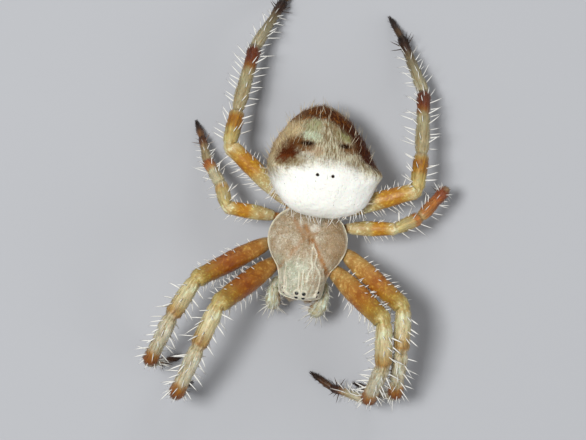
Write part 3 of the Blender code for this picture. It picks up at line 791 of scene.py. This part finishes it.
# Rows of spines: (segment number, first and last share of it, spacing, length, width, lean in
# degrees from the skin's normal, angles round the leg from its upper side to its front)
SPINES = (
    (1, 0.16, 0.94, 0.66, 0.42, 0.095, 30, (-82, 80)),
    (1, 0.4, 0.93, 0.72, 0.4, 0.095, 40, (-48,)),
    (1, 0.4, 0.95, 0.42, 0.9, 0.082, 26, (104, 128, 152)),
    (1, 0.3, 0.95, 0.62, 0.52, 0.072, 32, (-150, -112)),
    (2, 0.14, 0.94, 0.8, 1.0, 0.125, 26, (-98, -58, 62, 102)),
    (2, 0.2, 0.9, 1.1, 0.55, 0.09, 46, (-20, 160)),
    (3, 0.06, 0.88, 0.8, 1.06, 0.125, 26, (-106, -66, 68, 108)),
    (3, 0.1, 0.86, 1.0, 0.6, 0.09, 46, (-20, 160)),
    (3, 0.89, 0.97, 0.3, 0.56, 0.072, 40, (-150, -100, -55, -10, 35, 80, 120, 165)),
    (4, 0.08, 0.88, 0.66, 0.8, 0.095, 30, (-106, -64, 66, 110, 170)),
    (4, 0.12, 0.8, 0.9, 0.5, 0.075, 50, (0,)),
    (4, 0.88, 0.97, 0.24, 0.45, 0.06, 42, (-120, -60, 0, 60, 120, 180)),
    (5, 0.1, 0.9, 0.46, 0.3, 0.04, 52, (-130, -80, -30, 30, 80, 130, 180)),
)
FOOT_SEGMENTS = (4.85, 4.6)   # where the coat darkens towards the foot
LEG_LUMPS = ((0.03, 1.6), (0.016, 4.0))
LEG_HAIRS = 2200
# (segment number, how thickly it is haired)
LEG_HAIR_COVER = ((0.0, 0.3), (1.0, 0.06), (1.85, 0.08), (2.1, 0.6), (3.0, 1.0), (4.0, 1.1),
                  (5.0, 1.2), (6.0, 1.2))


def leg_skin(side, pair):
    prefix = f"leg_{side}_{pair}"
    near = box_centre("carapace")
    femur = corner_layers(f"{prefix}_femur", near)
    joints = [femur[0].mean(0), femur[3].mean(0)]
    radii = [radius_of(femur[1]), radius_of(femur[5])]
    shapes = [COXA_SHAPE, SEGMENT_SHAPES["femur"]]
    near = nearest_end(box_centre(f"{prefix}_patella"), femur)
    for segment in SEGMENTS[1:]:
        layers = corner_layers(f"{prefix}_{segment}", near)
        near = layers[0].mean(0)
        joints.append(near)
        radii.append(radius_of(layers[1]))
        shapes.append(SEGMENT_SHAPES[segment])
    direction = unit(layers[1].mean(0) - layers[0].mean(0))
    rise = joints[-1][2] - FOOT_RISE * MM
    joints.append(joints[-1] - direction * rise / direction[2])
    return limb(joints, radii, shapes, LEG_CORNERS), joints[-1], direction


def nearest_end(point, layers):
    """The middle of whichever layer lies nearest a point."""
    return min((layer.mean(0) for layer in layers), key=lambda middle: norm(middle - point))


def spine_roots(skin, rng, number, first, last, spacing, angles):
    """Places in rows along one segment of a limb."""
    arcs, numbers = skin.place[:, 0, 0], skin.segment[:, 0]
    start, end = np.interp((number + first, number + last), numbers, arcs)
    row, column = [], []
    for angle in angles:
        stations = np.arange(start + spacing * rng.random(), end, spacing)
        stations = stations + rng.normal(0.0, 0.12 * spacing, len(stations))
        row.append(np.interp(stations, arcs, np.arange(len(arcs))))
        turned = angle + rng.normal(0.0, 7.0, len(stations))
        column.append((turned % 360.0) / 360.0 * skin.rings.shape[1])
    return skin.at(np.concatenate(row), np.concatenate(column))


def leg_spines(skin, rng, thickness, front):
    """front is 1 where angles round the leg grow towards the front, and -1 elsewhere."""
    batches = []
    for number, first, last, spacing, length, width, lean, angles in SPINES:
        roots = spine_roots(skin, rng, number, first, last, spacing, np.multiply(angles, front))
        batches.append(hairs(rng, roots, length * thickness, width * thickness, (lean, 10.0), 18.0,
                             vary=0.16, sag=0.04, rings=3))
    return batches


def leg_hairs(skin, rng):
    cover = np.interp(skin.segment, *zip(*LEG_HAIR_COVER))
    roots = skin.roots(rng, LEG_HAIRS, cover)
    return [hairs(rng, roots, 0.28, 0.018, (80.0, 5.0), 10.0, sag=0.05)]


# Two claws on a foot: (forward, up) of their middle line from the tip, and its radii
CLAW_PATH = ((-0.08, -0.02), (0.06, 0.05), (0.18, 0.03), (0.27, -0.06), (0.29, -0.14))
CLAW_RADII = (0.05, 0.045, 0.034, 0.02, 0.01)
CLAW_APART = 0.055
CLAW_CORNERS = 10


def claws(tip, direction):
    level = unit(direction * np.array((1.0, 1.0, 0.0)))
    across = np.cross(level, UP)
    parts = []
    for way in (-1.0, 1.0):
        centres = [tip + (level * ahead + UP * rise + across * way * CLAW_APART) * MM
                   for ahead, rise in CLAW_PATH]
        parts.append(tube(centres, np.array(CLAW_RADII) * MM, CLAW_CORNERS, 4).surface())
    return parts


def leg_bands():
    """The bands of each kind of leg, named as the looks of the legs are."""
    tables = {f"leg_front_{side}": FRONT_FEMUR_BANDS[side] + FRONT_LEG_BANDS for side in SIDES}
    for side in SIDES:
        tables[f"leg_third_{side}"] = REAR_FEMUR_BANDS + THIRD_LEG_BANDS[side] + THIRD_FOOT_BANDS
    tables["leg_fourth"] = REAR_FEMUR_BANDS + FOURTH_LEG_BANDS
    return tables


def leg_finishes(name, bands):
    """The materials of a leg's skin, spines and hairs."""
    shader = Shader(f"{name}_skin", roughness=0.38, subsurface_weight=0.15,
                    subsurface_scale=GLOW_DEPTH, specular_ior_level=0.45)
    grain = shader.noise(shader.place(), 7.0, detail=5.0, stretch=(0.45, 1.0, 1.0))
    finishes = [shader.finish(limb_colour(shader, bands), grain, 0.05)]
    for coat, whiteness in (("spines", 0.95), ("hairs", 0.1)):
        shader = Shader(f"{name}_{coat}", **COAT_LOOK)
        pale = shader.rise(shader.segment(), *FOOT_SEGMENTS)
        pale = shader.times(shader.math("ADD", pale, 0.05), whiteness)
        colour = shader.mix(pale, limb_colour(shader, bands), SPINE_WHITE)
        finishes.append(shader.finish(colour))
    return finishes


def add_legs():
    finishes = {name: leg_finishes(name, bands) for name, bands in leg_bands().items()}
    claw_finish = Shader("claw_horn", roughness=0.2).finish(CLAW_BROWN)
    for side in SIDES:
        for pair in PAIRS:
            rng = np.random.default_rng((SEED, pair, side == "left"))
            name = {3: f"leg_third_{side}", 4: "leg_fourth"}.get(pair, f"leg_front_{side}")
            skin_finish, spine_finish, hair_finish = finishes[name]
            prefix = f"leg_{side}_{pair}"
            skin, tip, direction = leg_skin(side, pair)
            skin = skin.push(lumps(skin.rings / MM, LEG_LUMPS) * MM)
            nodes = [f"{prefix}_{segment}" for segment in SEGMENTS]
            add_piece(prefix, [skin.surface()], skin_finish, nodes)
            thickness = 0.8 if pair == 3 else 1.0
            add_piece(f"{prefix}_spines", leg_spines(skin, rng, thickness, SIDES[side]),
                     spine_finish)
            add_piece(f"{prefix}_hairs", leg_hairs(skin, rng), hair_finish)
            add_piece(f"{prefix}_claws", claws(tip, direction), claw_finish)


# ---- Abdomen -----------------------------------------------------------------------------

ABDOMEN_SPREAD = 3.8          # the widest half width, which scales the markings' coordinates
ABDOMEN_STEPS = (10, 8)       # rings for each of the solid's layers, and points for each corner
ABDOMEN_LUMPS = ((0.05, 1.1), (0.025, 2.8), (0.01, 7.0))
PIT_DEPTH = 0.06
# (name, bristles, length, width, lean, power of the cover towards the rear, share, colour)
ABDOMEN_COATS = (
    ("abdomen_down", 2600, 0.34, 0.024, 64.0, 1, 0.25, (0.36, 0.13, 0.03)),
    ("abdomen_hairs", 300, 0.72, 0.044, 32.0, 2, 0.62, (0.86, 0.76, 0.56)),
)
# Hairs that stand over the carapace from the abdomen's front: (bristles, length, width, lean)
ABDOMEN_FRINGE = (46, 0.75, 0.06, 22.0)
LEAN_SPREAD = 9.0
TURN_SPREAD = 22.0


def abdomen_axes(layers):
    """Its long axis, square to the middle layer, and the ways across it and up."""
    front, rear = layers[0][0], layers[-1][0]
    middle = layers[len(layers) // 2]
    axis = np.linalg.svd(middle - middle.mean(0))[2][2]
    axis = axis * np.sign(axis.dot(rear - front))
    below = np.concatenate(corner_layers("spinnerets", box_centre("abdomen"))).mean(0) - front
    upward = -unit(below - axis * below.dot(axis))
    return axis, np.cross(axis, upward), upward


def abdomen_rings(layers, across, upward):
    """The layers as rings that start at one side and go over the back, made finer."""
    front, rear = layers[0][0], layers[-1][0]
    start = layers[1][np.argmax((layers[1] - front) @ across)]
    rings = []
    for layer in layers[1:-1]:
        offset = layer - layer.mean(0)
        ring = layer[np.argsort(np.arctan2(offset @ upward, offset @ across))]
        turned = [np.roll(ring, -turn, axis=0) for turn in range(len(ring))]
        gaps = [norm(one - rings[-1]).sum() if rings else norm(one[0] - start) for one in turned]
        rings.append(turned[np.argmin(gaps)])
    count = len(rings[0])
    rings = np.array([np.repeat(front[None], count, 0), *rings, np.repeat(rear[None], count, 0)])
    rings = refine(refine(rings, ABDOMEN_STEPS[0]).swapaxes(0, 1), ABDOMEN_STEPS[1], closed=True)
    return rings.swapaxes(0, 1)[1:-1]


def abdomen_skin():
    layers = corner_layers("abdomen", box_centre("carapace"))
    front = layers[0][0]
    axis, across, upward = abdomen_axes(layers)
    rings = abdomen_rings(layers, across, upward)
    angle = 2.0 * np.pi * np.arange(rings.shape[1]) / rings.shape[1]
    along = (rings - front) @ axis / MM
    place = np.stack((ABDOMEN_SPREAD * np.cos(angle) * np.ones_like(along), along,
                      ABDOMEN_SPREAD * np.sin(angle) * np.ones_like(along)), axis=-1)
    skin = Skin(rings, place).push(-SKIN_DEPTH * MM)
    relief = lumps(rings / MM, ABDOMEN_LUMPS)
    for centre, radii, _ in ABDOMEN_PITS:
        away = np.hypot((place[..., 0] - centre[0]) / radii[0], (along - centre[1]) / radii[1])
        relief -= np.where(place[..., 2] > 0.0, PIT_DEPTH * np.exp(-(away / 1.1) ** 2), 0.0)
    return skin.push(relief * MM)


def add_abdomen():
    skin = abdomen_skin()
    shader = Shader("abdomen_skin", roughness=0.45, subsurface_weight=0.1,
                    subsurface_scale=GLOW_DEPTH, specular_ior_level=0.04)
    place = shader.place()
    pits = shader.rise(shader.cells(place, 5.5), 0.05, 0.35)
    height = shader.math("ADD", shader.noise(place, 4.0, detail=5.0), shader.times(pits, 0.5))
    finish = shader.finish(abdomen_colour(shader), height, 0.05)
    add_piece("abdomen_skin", [skin.surface()], finish, ["abdomen"])
    rng = np.random.default_rng((SEED, 11))
    along, up = skin.place[..., 1], skin.place[..., 2]
    rear = np.clip((along - 3.4) / 1.2, 0.03, 1.0)
    rear = np.where(up < 0.3, 1.0, rear)
    for name, count, length, width, lean, weight, share, tone in ABDOMEN_COATS:
        roots = skin.roots(rng, count, rear ** weight)
        batch = hairs(rng, roots, length, width, (lean, LEAN_SPREAD), TURN_SPREAD, sag=0.15)
        shader = Shader(name, **COAT_LOOK)
        colour = shader.mix(share, abdomen_colour(shader), tone)
        add_piece(name, [batch], shader.finish(colour))
    facing = (np.abs(skin.normal[..., 2]) < 0.3) & (skin.normal[..., 1] < -0.5)
    count, length, width, lean = ABDOMEN_FRINGE
    roots = skin.roots(rng, count, facing.astype(float))
    roots["along"] = -roots["along"]
    batch = hairs(rng, roots, length, width, (lean, LEAN_SPREAD), TURN_SPREAD, sag=0.15)
    finish = Shader("abdomen_fringe", **COAT_LOOK).finish(SPINE_WHITE)
    add_piece("abdomen_fringe", [batch], finish)


# ---- Carapace and head -------------------------------------------------------------------

# (share of the length from the rear, share of the half width, share of the height)
CARAPACE_ROWS = (
    (0.0, 0.0, 0.087), (0.027, 0.386, 0.231), (0.128, 0.772, 0.462), (0.272, 0.974, 0.665),
    (0.423, 1.0, 0.734), (0.559, 0.875, 0.838), (0.68, 0.68, 0.965), (0.801, 0.588, 1.0),
    (0.899, 0.559, 0.884), (0.97, 0.46, 0.607), (1.0, 0.0, 0.289),
)
FOVEA_SHARE = 0.347           # of the carapace's length, from the rear
CARAPACE_CORNERS = 240
CARAPACE_STEPS = 14
# Grooves from the fovea, mirrored on the other side: (start, end, width, depth)
CARAPACE_GROOVES = (
    ((0.1, -0.1), (1.05, -1.75), 0.2, 0.1), ((1.05, -1.75), (1.75, -2.45), 0.2, 0.08),
    ((0.25, -0.1), (2.1, -1.15), 0.2, 0.05), ((0.25, 0.1), (2.35, -0.1), 0.2, 0.05),
    ((0.25, 0.3), (2.05, 0.95), 0.2, 0.05), ((0.15, 0.5), (1.25, 1.7), 0.2, 0.04),
)
# Lines, across and along from the fovea: (paleness from -1 to 1, height, width, points)
# Lines with a paleness below 0 run in grooves and are partly painted shade.
CARAPACE_LINES = (
    (-0.85, -0.14, 0.18, ((-0.27, 0.83), (-0.1, 0.5), (0.1, 0.2), (0.13, 0.0))),
    (-0.8, -0.04, 0.07, ((0.08, 0.13), (0.16, -0.43))),
    (-0.95, -0.1, 0.17, ((0.2, 0.12), (0.54, -0.36), (0.73, -0.72), (1.03, -1.21), (1.34, -1.62),
                         (1.53, -1.94), (1.8, -2.35))),
    (-0.5, -0.08, 0.22, ((-0.1, 0.15), (-0.5, -0.36), (-0.75, -0.8), (-1.03, -1.21),
                         (-1.34, -1.62), (-1.55, -1.94), (-1.8, -2.35))),
    (-0.5, -0.02, 0.06, ((-0.21, 0.05), (-0.27, -0.38), (-0.29, -0.74))),
    (-0.55, -0.06, 0.28, ((-1.05, 1.15), (-0.66, 0.58), (-0.27, 0.2))),
    (-0.45, -0.05, 0.18, ((0.18, 0.12), (0.44, 0.34), (0.62, 0.75))),
    (-0.6, -0.02, 0.05, ((-0.11, -2.4), (-0.09, -3.03), (-0.08, -3.55))),
    (-0.6, -0.02, 0.05, ((0.11, -2.39), (0.18, -2.89), (0.2, -3.4))),
    (-0.4, -0.01, 0.06, ((0.85, -2.2), (0.78, -3.0), (0.62, -3.7))),
    (1.0, 0.05, 0.06, ((0.42, -0.37), (0.8, -1.03), (0.73, -1.7), (1.05, -2.11), (1.22, -2.5),
                       (1.24, -3.12), (1.01, -3.95))),
    (0.8, 0.05, 0.06, ((0.41, -0.55), (0.45, -1.44), (0.59, -1.94), (0.4, -2.33), (0.34, -3.0))),
    (0.5, 0.04, 0.06, ((-0.33, -0.55), (-0.48, -1.44), (-0.52, -1.94), (-0.42, -2.33))),
    (0.9, 0.05, 0.05, ((-0.01, -2.2), (0.04, -3.13), (0.05, -3.65))),
    (0.8, 0.05, 0.05, ((-0.3, -2.3), (-0.21, -3.24), (-0.2, -3.6))),
    (0.7, 0.05, 0.05, ((-1.4, -1.9), (-1.12, -3.0), (-0.98, -3.6))),
    (1.0, 0.05, 0.05, ((-1.34, -2.45), (-1.15, -3.62))),
    (0.7, 0.05, 0.06, ((-1.63, -2.4), (-1.42, -3.4))),
    (0.7, 0.02, 0.07, ((1.45, -2.1), (1.5, -2.74))),
    (0.6, 0.01, 0.05, ((-0.95, 1.36), (-0.6, 0.94))),
    (1.0, 0.03, 0.12, ((-1.25, -3.7), (-0.81, -4.03), (-0.44, -4.2), (0.15, -4.24),
                       (0.63, -4.13), (1.1, -3.95))),
)
CARAPACE_LUMPS = ((0.05, 1.3), (0.035, 3.2), (0.018, 8.0))
CARAPACE_HAIRS = 1300
EYE_RING = 0.9                # paleness of the ring round each eye
EYE_MOUND = 0.05              # how high the skin rises towards each eye
EYE_KINDS = ("eye_median_front", "eye_median_rear", "eye_side_front", "eye_side_rear")


def from_segment(x, y, start, end):
    """Distances of points from a straight line between two others."""
    run = np.subtract(end, start)
    t = np.clip(((x - start[0]) * run[0] + (y - start[1]) * run[1]) / run.dot(run), 0.0, 1.0)
    return np.hypot(x - start[0] - t * run[0], y - start[1] - t * run[1])


def carapace_rings(low, high, spoke, over):
    """Sections across the carapace, arched where over is true and flat below."""
    size, middle = high - low, (low[0] + high[0]) / 2.0
    rows = np.array(CARAPACE_ROWS)
    before = np.array((rows[1][0], -rows[1][1], rows[0][2]))
    after = np.array((rows[-2][0], -rows[-2][1], rows[-1][2] - 0.15))
    chain = np.concatenate((before[None], rows, after[None]))
    fine = refine(chain, CARAPACE_STEPS)[CARAPACE_STEPS:-CARAPACE_STEPS]
    rings = []
    for share, width, height in fine[fine[:, 1] > 0.02]:
        half = width * size[0] / 2.0
        dome = height * size[2] * (1.0 - np.abs(spoke) ** 2.4) ** 0.62
        rings.append(np.stack((middle + half * spoke,
                               np.full(CARAPACE_CORNERS, high[1] - share * size[1]),
                               low[2] + np.where(over, dome, 0.0)), axis=-1))
    return np.array(rings)


def carapace_relief(place, fovea):
    """Heights in millimetres, and the paleness of lines, at places from the fovea."""
    across, along = place[..., 0], place[..., 1]
    relief, line = lumps(place, CARAPACE_LUMPS), np.zeros(across.shape)
    for start, end, width, depth in CARAPACE_GROOVES:
        relief -= depth * np.exp(-(from_segment(np.abs(across), along, start, end) / width) ** 2)
    for paleness, height, width, points in CARAPACE_LINES:
        away = [from_segment(across, along, start, end) for start, end in zip(points, points[1:])]
        near = np.exp(-(np.min(away, axis=0) / width) ** 2)
        relief += height * near
        line += (paleness - line) * near
    for kind in EYE_KINDS:
        low, high = box_of(f"{kind}_left")
        eye, radius = ((low + high) / 2.0 - fovea) / MM, (high - low)[0] / 2.0 / MM
        away = np.hypot(np.abs(across) - eye[0], along - eye[1]) / radius
        relief += EYE_MOUND * np.exp(-(away / 1.5) ** 2)
        line += (EYE_RING - line) * np.exp(-((away - 1.4) / 0.4) ** 2)
    return relief, line


def carapace_skin():
    low, high = box_of("carapace")
    angle = 2.0 * np.pi * np.arange(CARAPACE_CORNERS) / CARAPACE_CORNERS
    over = angle <= np.pi
    rings = carapace_rings(low, high, np.cos(angle), over)
    fovea = np.array(((low[0] + high[0]) / 2.0, high[1] - FOVEA_SHARE * (high - low)[1], low[2]))
    place = (rings - fovea) / MM
    relief, line = carapace_relief(place, fovea)
    skin = Skin(rings, place, line).push(-SKIN_DEPTH * MM)
    upper = np.clip(skin.normal[..., 2] * 3.0, 0.0, 1.0) * over[None]
    return skin.push(relief * upper * MM)


def add_carapace():
    skin = carapace_skin()
    shader = Shader("carapace_skin", roughness=0.36, subsurface_weight=0.1,
                    subsurface_scale=GLOW_DEPTH)
    height = shader.noise(shader.place(), 9.0, detail=6.0, roughness=0.65)
    finish = shader.finish(carapace_colour(shader), height, 0.06)
    add_piece("carapace_skin", [skin.surface()], finish, ["carapace"])
    rng = np.random.default_rng((SEED, 12))
    weight = (skin.normal[..., 2] > 0.05).astype(float)
    roots = skin.roots(rng, CARAPACE_HAIRS, weight)
    roots["along"] = -roots["along"] * 0.6 - unit(roots["place"] * np.array((1.0, 1.0, 0.0))) * 0.8
    batch = hairs(rng, roots, 0.2, 0.016, (76.0, 7.0), 25.0, sag=0.05)
    shader = Shader("carapace_coat", roughness=0.5)
    colour = shader.mix(0.5, carapace_colour(shader), (0.84, 0.8, 0.7))
    add_piece("carapace_coat", [batch], shader.finish(colour))


def add_eyes():
    glass = Shader("eye_glass", roughness=0.06, coat_weight=0.6).finish(EYE_BLACK)
    for kind in EYE_KINDS:
        for side in SIDES:
            node = f"{kind}_{side}"
            low, high = box_of(node)
            mesh = bpy.data.meshes.new(node + "_ball")
            ball = bmesh.new()
            bmesh.ops.create_uvsphere(ball, u_segments=32, v_segments=20,
                                      radius=(high - low)[0] / 2.0)
            ball.to_mesh(mesh)
            ball.free()
            mesh.shade_smooth()
            settle(mesh, (low + high) / 2.0, glass, [node])


# ---- Palps and jaws ----------------------------------------------------------------------

PALP_SHAPES = (
    ((0.0, 0.95), (0.5, 1.0), (0.95, 0.94)),
    ((0.05, 0.9), (0.5, 1.0), (0.97, 0.96)),
    ((0.03, 0.96), (0.5, 1.04), (0.96, 0.98)),
    ((0.05, 0.94), (0.5, 1.06), (0.95, 1.0)),
    ((0.05, 0.96), (0.5, 1.06), (0.95, 0.98)),
    ((0.04, 0.94), (0.35, 1.02), (0.75, 0.92), (1.0, 0.62)),
)
# Rows of bristles on the palps: (first and last segment number, spacing, length, width, lean)
PALP_ROWS = ((2.1, 4.9, 0.4, 0.45, 0.06, 44), (5.0, 5.98, 0.24, 0.85, 0.08, 30))
PALP_SINK = 0.45              # how far the skin reaches back past the solid's root
PALP_ROW_ANGLES = (-150, -110, -70, -30, 10, 50, 90, 130, 170)
PALP_HAIRS = 200


def palp_colour(shader):
    """The bands, darker on the side towards the other palp, which place's Y grows to."""
    inner = shader.rise(shader.axis(shader.place(), "Y"), 0.22, 0.42)
    inner = shader.times(inner, 0.75)
    return shader.mix(inner, limb_colour(shader, PALP_BANDS), PALP_INNER)


def add_palps():
    shader = Shader("palp_skin", roughness=0.42, subsurface_weight=0.15,
                    subsurface_scale=GLOW_DEPTH)
    grain = shader.noise(shader.place(), 7.0, detail=5.0)
    skin_finish = shader.finish(palp_colour(shader), grain, 0.03)
    shader = Shader("palp_coat", **COAT_LOOK)
    coat_finish = shader.finish(shader.mix(0.72, palp_colour(shader), SPINE_WHITE))
    for side in SIDES:
        rng = np.random.default_rng((SEED, 13, side == "left"))
        layers = corner_layers(f"palp_{side}", box_centre("sternum"))
        joints, radii = centres_and_radii(layers[:len(PALP_SHAPES) + 1])
        joints[0] = joints[0] - unit(joints[1] - joints[0]) * PALP_SINK * MM
        skin = limb(joints, radii[:-1], PALP_SHAPES, PALP_CORNERS)
        skin.place[..., 1] *= SIDES[side]
        add_piece(f"palp_{side}_skin", [skin.surface()], skin_finish, [f"palp_{side}"])
        batches = []
        for first, last, spacing, length, width, lean in PALP_ROWS:
            roots = spine_roots(skin, rng, 0, first, last, spacing, PALP_ROW_ANGLES)
            batches.append(hairs(rng, roots, length, width, (lean, 9.0), 15.0, vary=0.2, sag=0.12,
                                 rings=3))
        batches.append(hairs(rng, skin.roots(rng, PALP_HAIRS), 0.26, 0.018, (74.0, 7.0)))
        add_piece(f"palp_{side}_coat", batches, coat_finish)


def add_tan_coat(skin, name, count, length):
    """A thin coat of hairs, all of one colour."""
    rng = np.random.default_rng((SEED, 14, count))
    batch = hairs(rng, skin.roots(rng, count), length, 0.022, (58.0, 9.0), 25.0)
    finish = Shader(name, **COAT_LOOK).finish(HAIR_TAN)
    add_piece(name, [batch], finish)


def add_jaws():
    shader = Shader("jaw_skin", roughness=0.32)
    grain = shader.noise(shader.place(), 4.0, detail=4.0)
    colour = shader.mix(grain, (0.13, 0.055, 0.02), (0.36, 0.2, 0.085))
    jaw_finish = shader.finish(colour, grain, 0.02)
    fang_finish = Shader("fang_horn", roughness=0.18).finish(FANG_BROWN)
    for side, other in zip(SIDES, reversed(SIDES)):
        jaw = f"chelicera_{side}"
        centres, radii = centres_and_radii(corner_layers(jaw, box_centre("carapace"))[:-1])
        skin = tube(centres, radii - SKIN_DEPTH * MM, JAW_CORNERS)
        add_piece(f"{jaw}_skin", [skin.surface()], jaw_finish, [jaw])
        add_tan_coat(skin, f"{jaw}_coat", 220, 0.3)
        layers = corner_layers(f"fang_{side}", box_centre(f"fang_{other}"))
        skin = tube(*centres_and_radii(layers[1:]), JAW_CORNERS)
        add_piece(f"fang_{side}_horn", [skin.surface()], fang_finish, [f"fang_{side}"])


# ---- Parts under the body ----------------------------------------------------------------

# (share of the outline, share of the height)
STERNUM_SHAPE = (
    (0.2, 0.012), (0.45, 0.03), (0.66, 0.08), (0.81, 0.17), (0.92, 0.31), (0.98, 0.5), (1.0, 0.72),
    (0.98, 1.0), (0.5, 1.0),
)
STERNUM_STEPS = 4             # points of the skin for each of the outline's corners
# (across, back, share of the length, radius), each on both sides but for the last
SPINNERETS = (
    (0.3, -0.24, 1.0, 0.24), (0.27, 0.22, 0.94, 0.2), (0.09, -0.02, 0.6, 0.1),
    (0.0, 0.46, 0.55, 0.2),
)
SPINNERET_SHAPE = ((0.0, 1.15), (0.35, 1.1), (0.7, 0.95), (1.0, 0.62))   # (share, radius)
SPINNERET_LEAN = 0.25         # how far the tips draw together, as a share of their spread


def add_sternum():
    low, high = box_of("sternum")
    shader = Shader("sternum_skin", roughness=0.5)
    fine = shader.noise(shader.place(), 3.0, detail=4.0)
    brown = shader.mix(fine, (0.07, 0.035, 0.018), (0.18, 0.1, 0.05))
    tan = shader.mix(fine, (0.26, 0.16, 0.07), (0.44, 0.32, 0.17))
    side = shader.rise(shader.axis(shader.place(), "Z"), low[2] / MM + 0.25, low[2] / MM + 0.6)
    finish = shader.finish(shader.mix(side, brown, tan), fine, 0.05)
    outline = corner_layers("sternum", high)[0]
    centre = outline.mean(0)
    offset = outline - centre
    outline = outline[np.argsort(np.arctan2(offset[:, 1], offset[:, 0]))]
    outline = refine(outline, STERNUM_STEPS, closed=True)
    rings = []
    for share, height in STERNUM_SHAPE:
        ring = centre + (outline - centre) * share
        ring[:, 2] = low[2] + (high[2] - low[2]) * height
        rings.append(ring)
    rings = np.array(rings)
    skin = Skin(rings, rings / MM).push(-SKIN_DEPTH * MM)
    add_piece("sternum_skin", [skin.surface()], finish, ["sternum"])
    add_tan_coat(skin, "sternum_coat", 600, 0.34)


def spinnerets():
    layers = corner_layers("spinnerets", box_centre("abdomen"))
    top, root, tip = layers[0][0], layers[-2].mean(0), layers[-1].mean(0)
    down = unit(tip - root)
    across = unit(np.cross(down, UP))
    back = np.cross(across, down)
    shares, sizes = zip(*SPINNERET_SHAPE)
    parts = []
    for x, y, length, radius in SPINNERETS:
        for way in (1.0, -1.0) if x else (1.0,):
            spread = (across * x * way + back * y) * MM
            base = top + spread
            end = base + (tip - top) * length - spread * SPINNERET_LEAN
            centres = [base + (end - base) * share for share in shares]
            skin = tube(centres, np.array(sizes) * radius * MM, PALP_CORNERS)
            parts.append(skin.surface())
    return parts


def add_pedicel_and_spinnerets():
    shader = Shader("spinneret_skin", roughness=0.45)
    fine = shader.noise(shader.place(), 3.0, detail=4.0)
    finish = shader.finish(shader.mix(fine, (0.09, 0.045, 0.02), (0.24, 0.14, 0.06)), fine, 0.03)
    layers = corner_layers("pedicel", box_centre("carapace"))
    skin = tube(*centres_and_radii(layers), PALP_CORNERS)
    add_piece("pedicel_skin", [skin.surface()], finish, ["pedicel"])
    add_piece("spinnerets_skin", spinnerets(), finish, ["spinnerets"])


# ---- Setting -----------------------------------------------------------------------------

CAMERA_OFFSET = (-1.188, 2.085)   # from the middle of the carapace's box
CAMERA_HEIGHT = 230.0
CAMERA_TURN = 8.0
CAMERA_LENS = 200.3
CAMERA_SENSOR = 36.0
FLOOR_SIZE = 4.0
FLOOR_GREY = (0.46, 0.47, 0.49)
SKY_WHITE = (0.95, 0.96, 1.0)
SKY_STRENGTH = 0.22
# (place, size, power)
LIGHTS = (
    ((-0.1, 0.0, 0.37), 0.08, 1.15),
    ((0.26, -0.14, 0.24), 0.2, 0.22),
    ((0.02, 0.3, 0.18), 0.16, 0.2),
)


def add_setting():
    bpy.ops.mesh.primitive_plane_add(size=FLOOR_SIZE)
    floor = bpy.context.object
    floor.name = "floor"
    floor.data.materials.append(Shader("floor", roughness=0.9).finish(FLOOR_GREY))
    floor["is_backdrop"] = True
    for place, size, power in LIGHTS:
        light = bpy.data.lights.new("softbox", "AREA")
        light.size = size
        light.energy = power
        obj = bpy.data.objects.new("softbox", light)
        bpy.context.collection.objects.link(obj)
        obj.location = place
        obj.rotation_euler = Vector(place).to_track_quat("Z", "Y").to_euler()
    world = bpy.data.worlds.new("studio")
    bpy.context.scene.world = world
    bpy.context.scene.view_settings.view_transform = "Standard"
    world.use_nodes = True
    sky = world.node_tree.nodes["Background"].inputs
    sky["Color"].default_value = rgba(SKY_WHITE)
    sky["Strength"].default_value = SKY_STRENGTH


def add_camera():
    middle = box_centre("carapace")
    camera = bpy.data.objects.new("camera", bpy.data.cameras.new("camera"))
    bpy.context.collection.objects.link(camera)
    x, y = middle[:2] + np.multiply(CAMERA_OFFSET, MM)
    camera.location = (x, y, CAMERA_HEIGHT * MM)
    camera.rotation_euler = (0.0, 0.0, math.radians(CAMERA_TURN))
    camera.data.lens = CAMERA_LENS
    camera.data.sensor_width = CAMERA_SENSOR
    camera.data.clip_start = 0.001
    bpy.context.scene.camera = camera


def corners(box):
    return [list(corner) for corner in box]


add_legs()
add_abdomen()
add_carapace()
add_eyes()
add_palps()
add_jaws()
add_sternum()
add_pedicel_and_spinnerets()
add_setting()
add_camera()
{"cad": corners(cad_box), "visual": corners(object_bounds())}
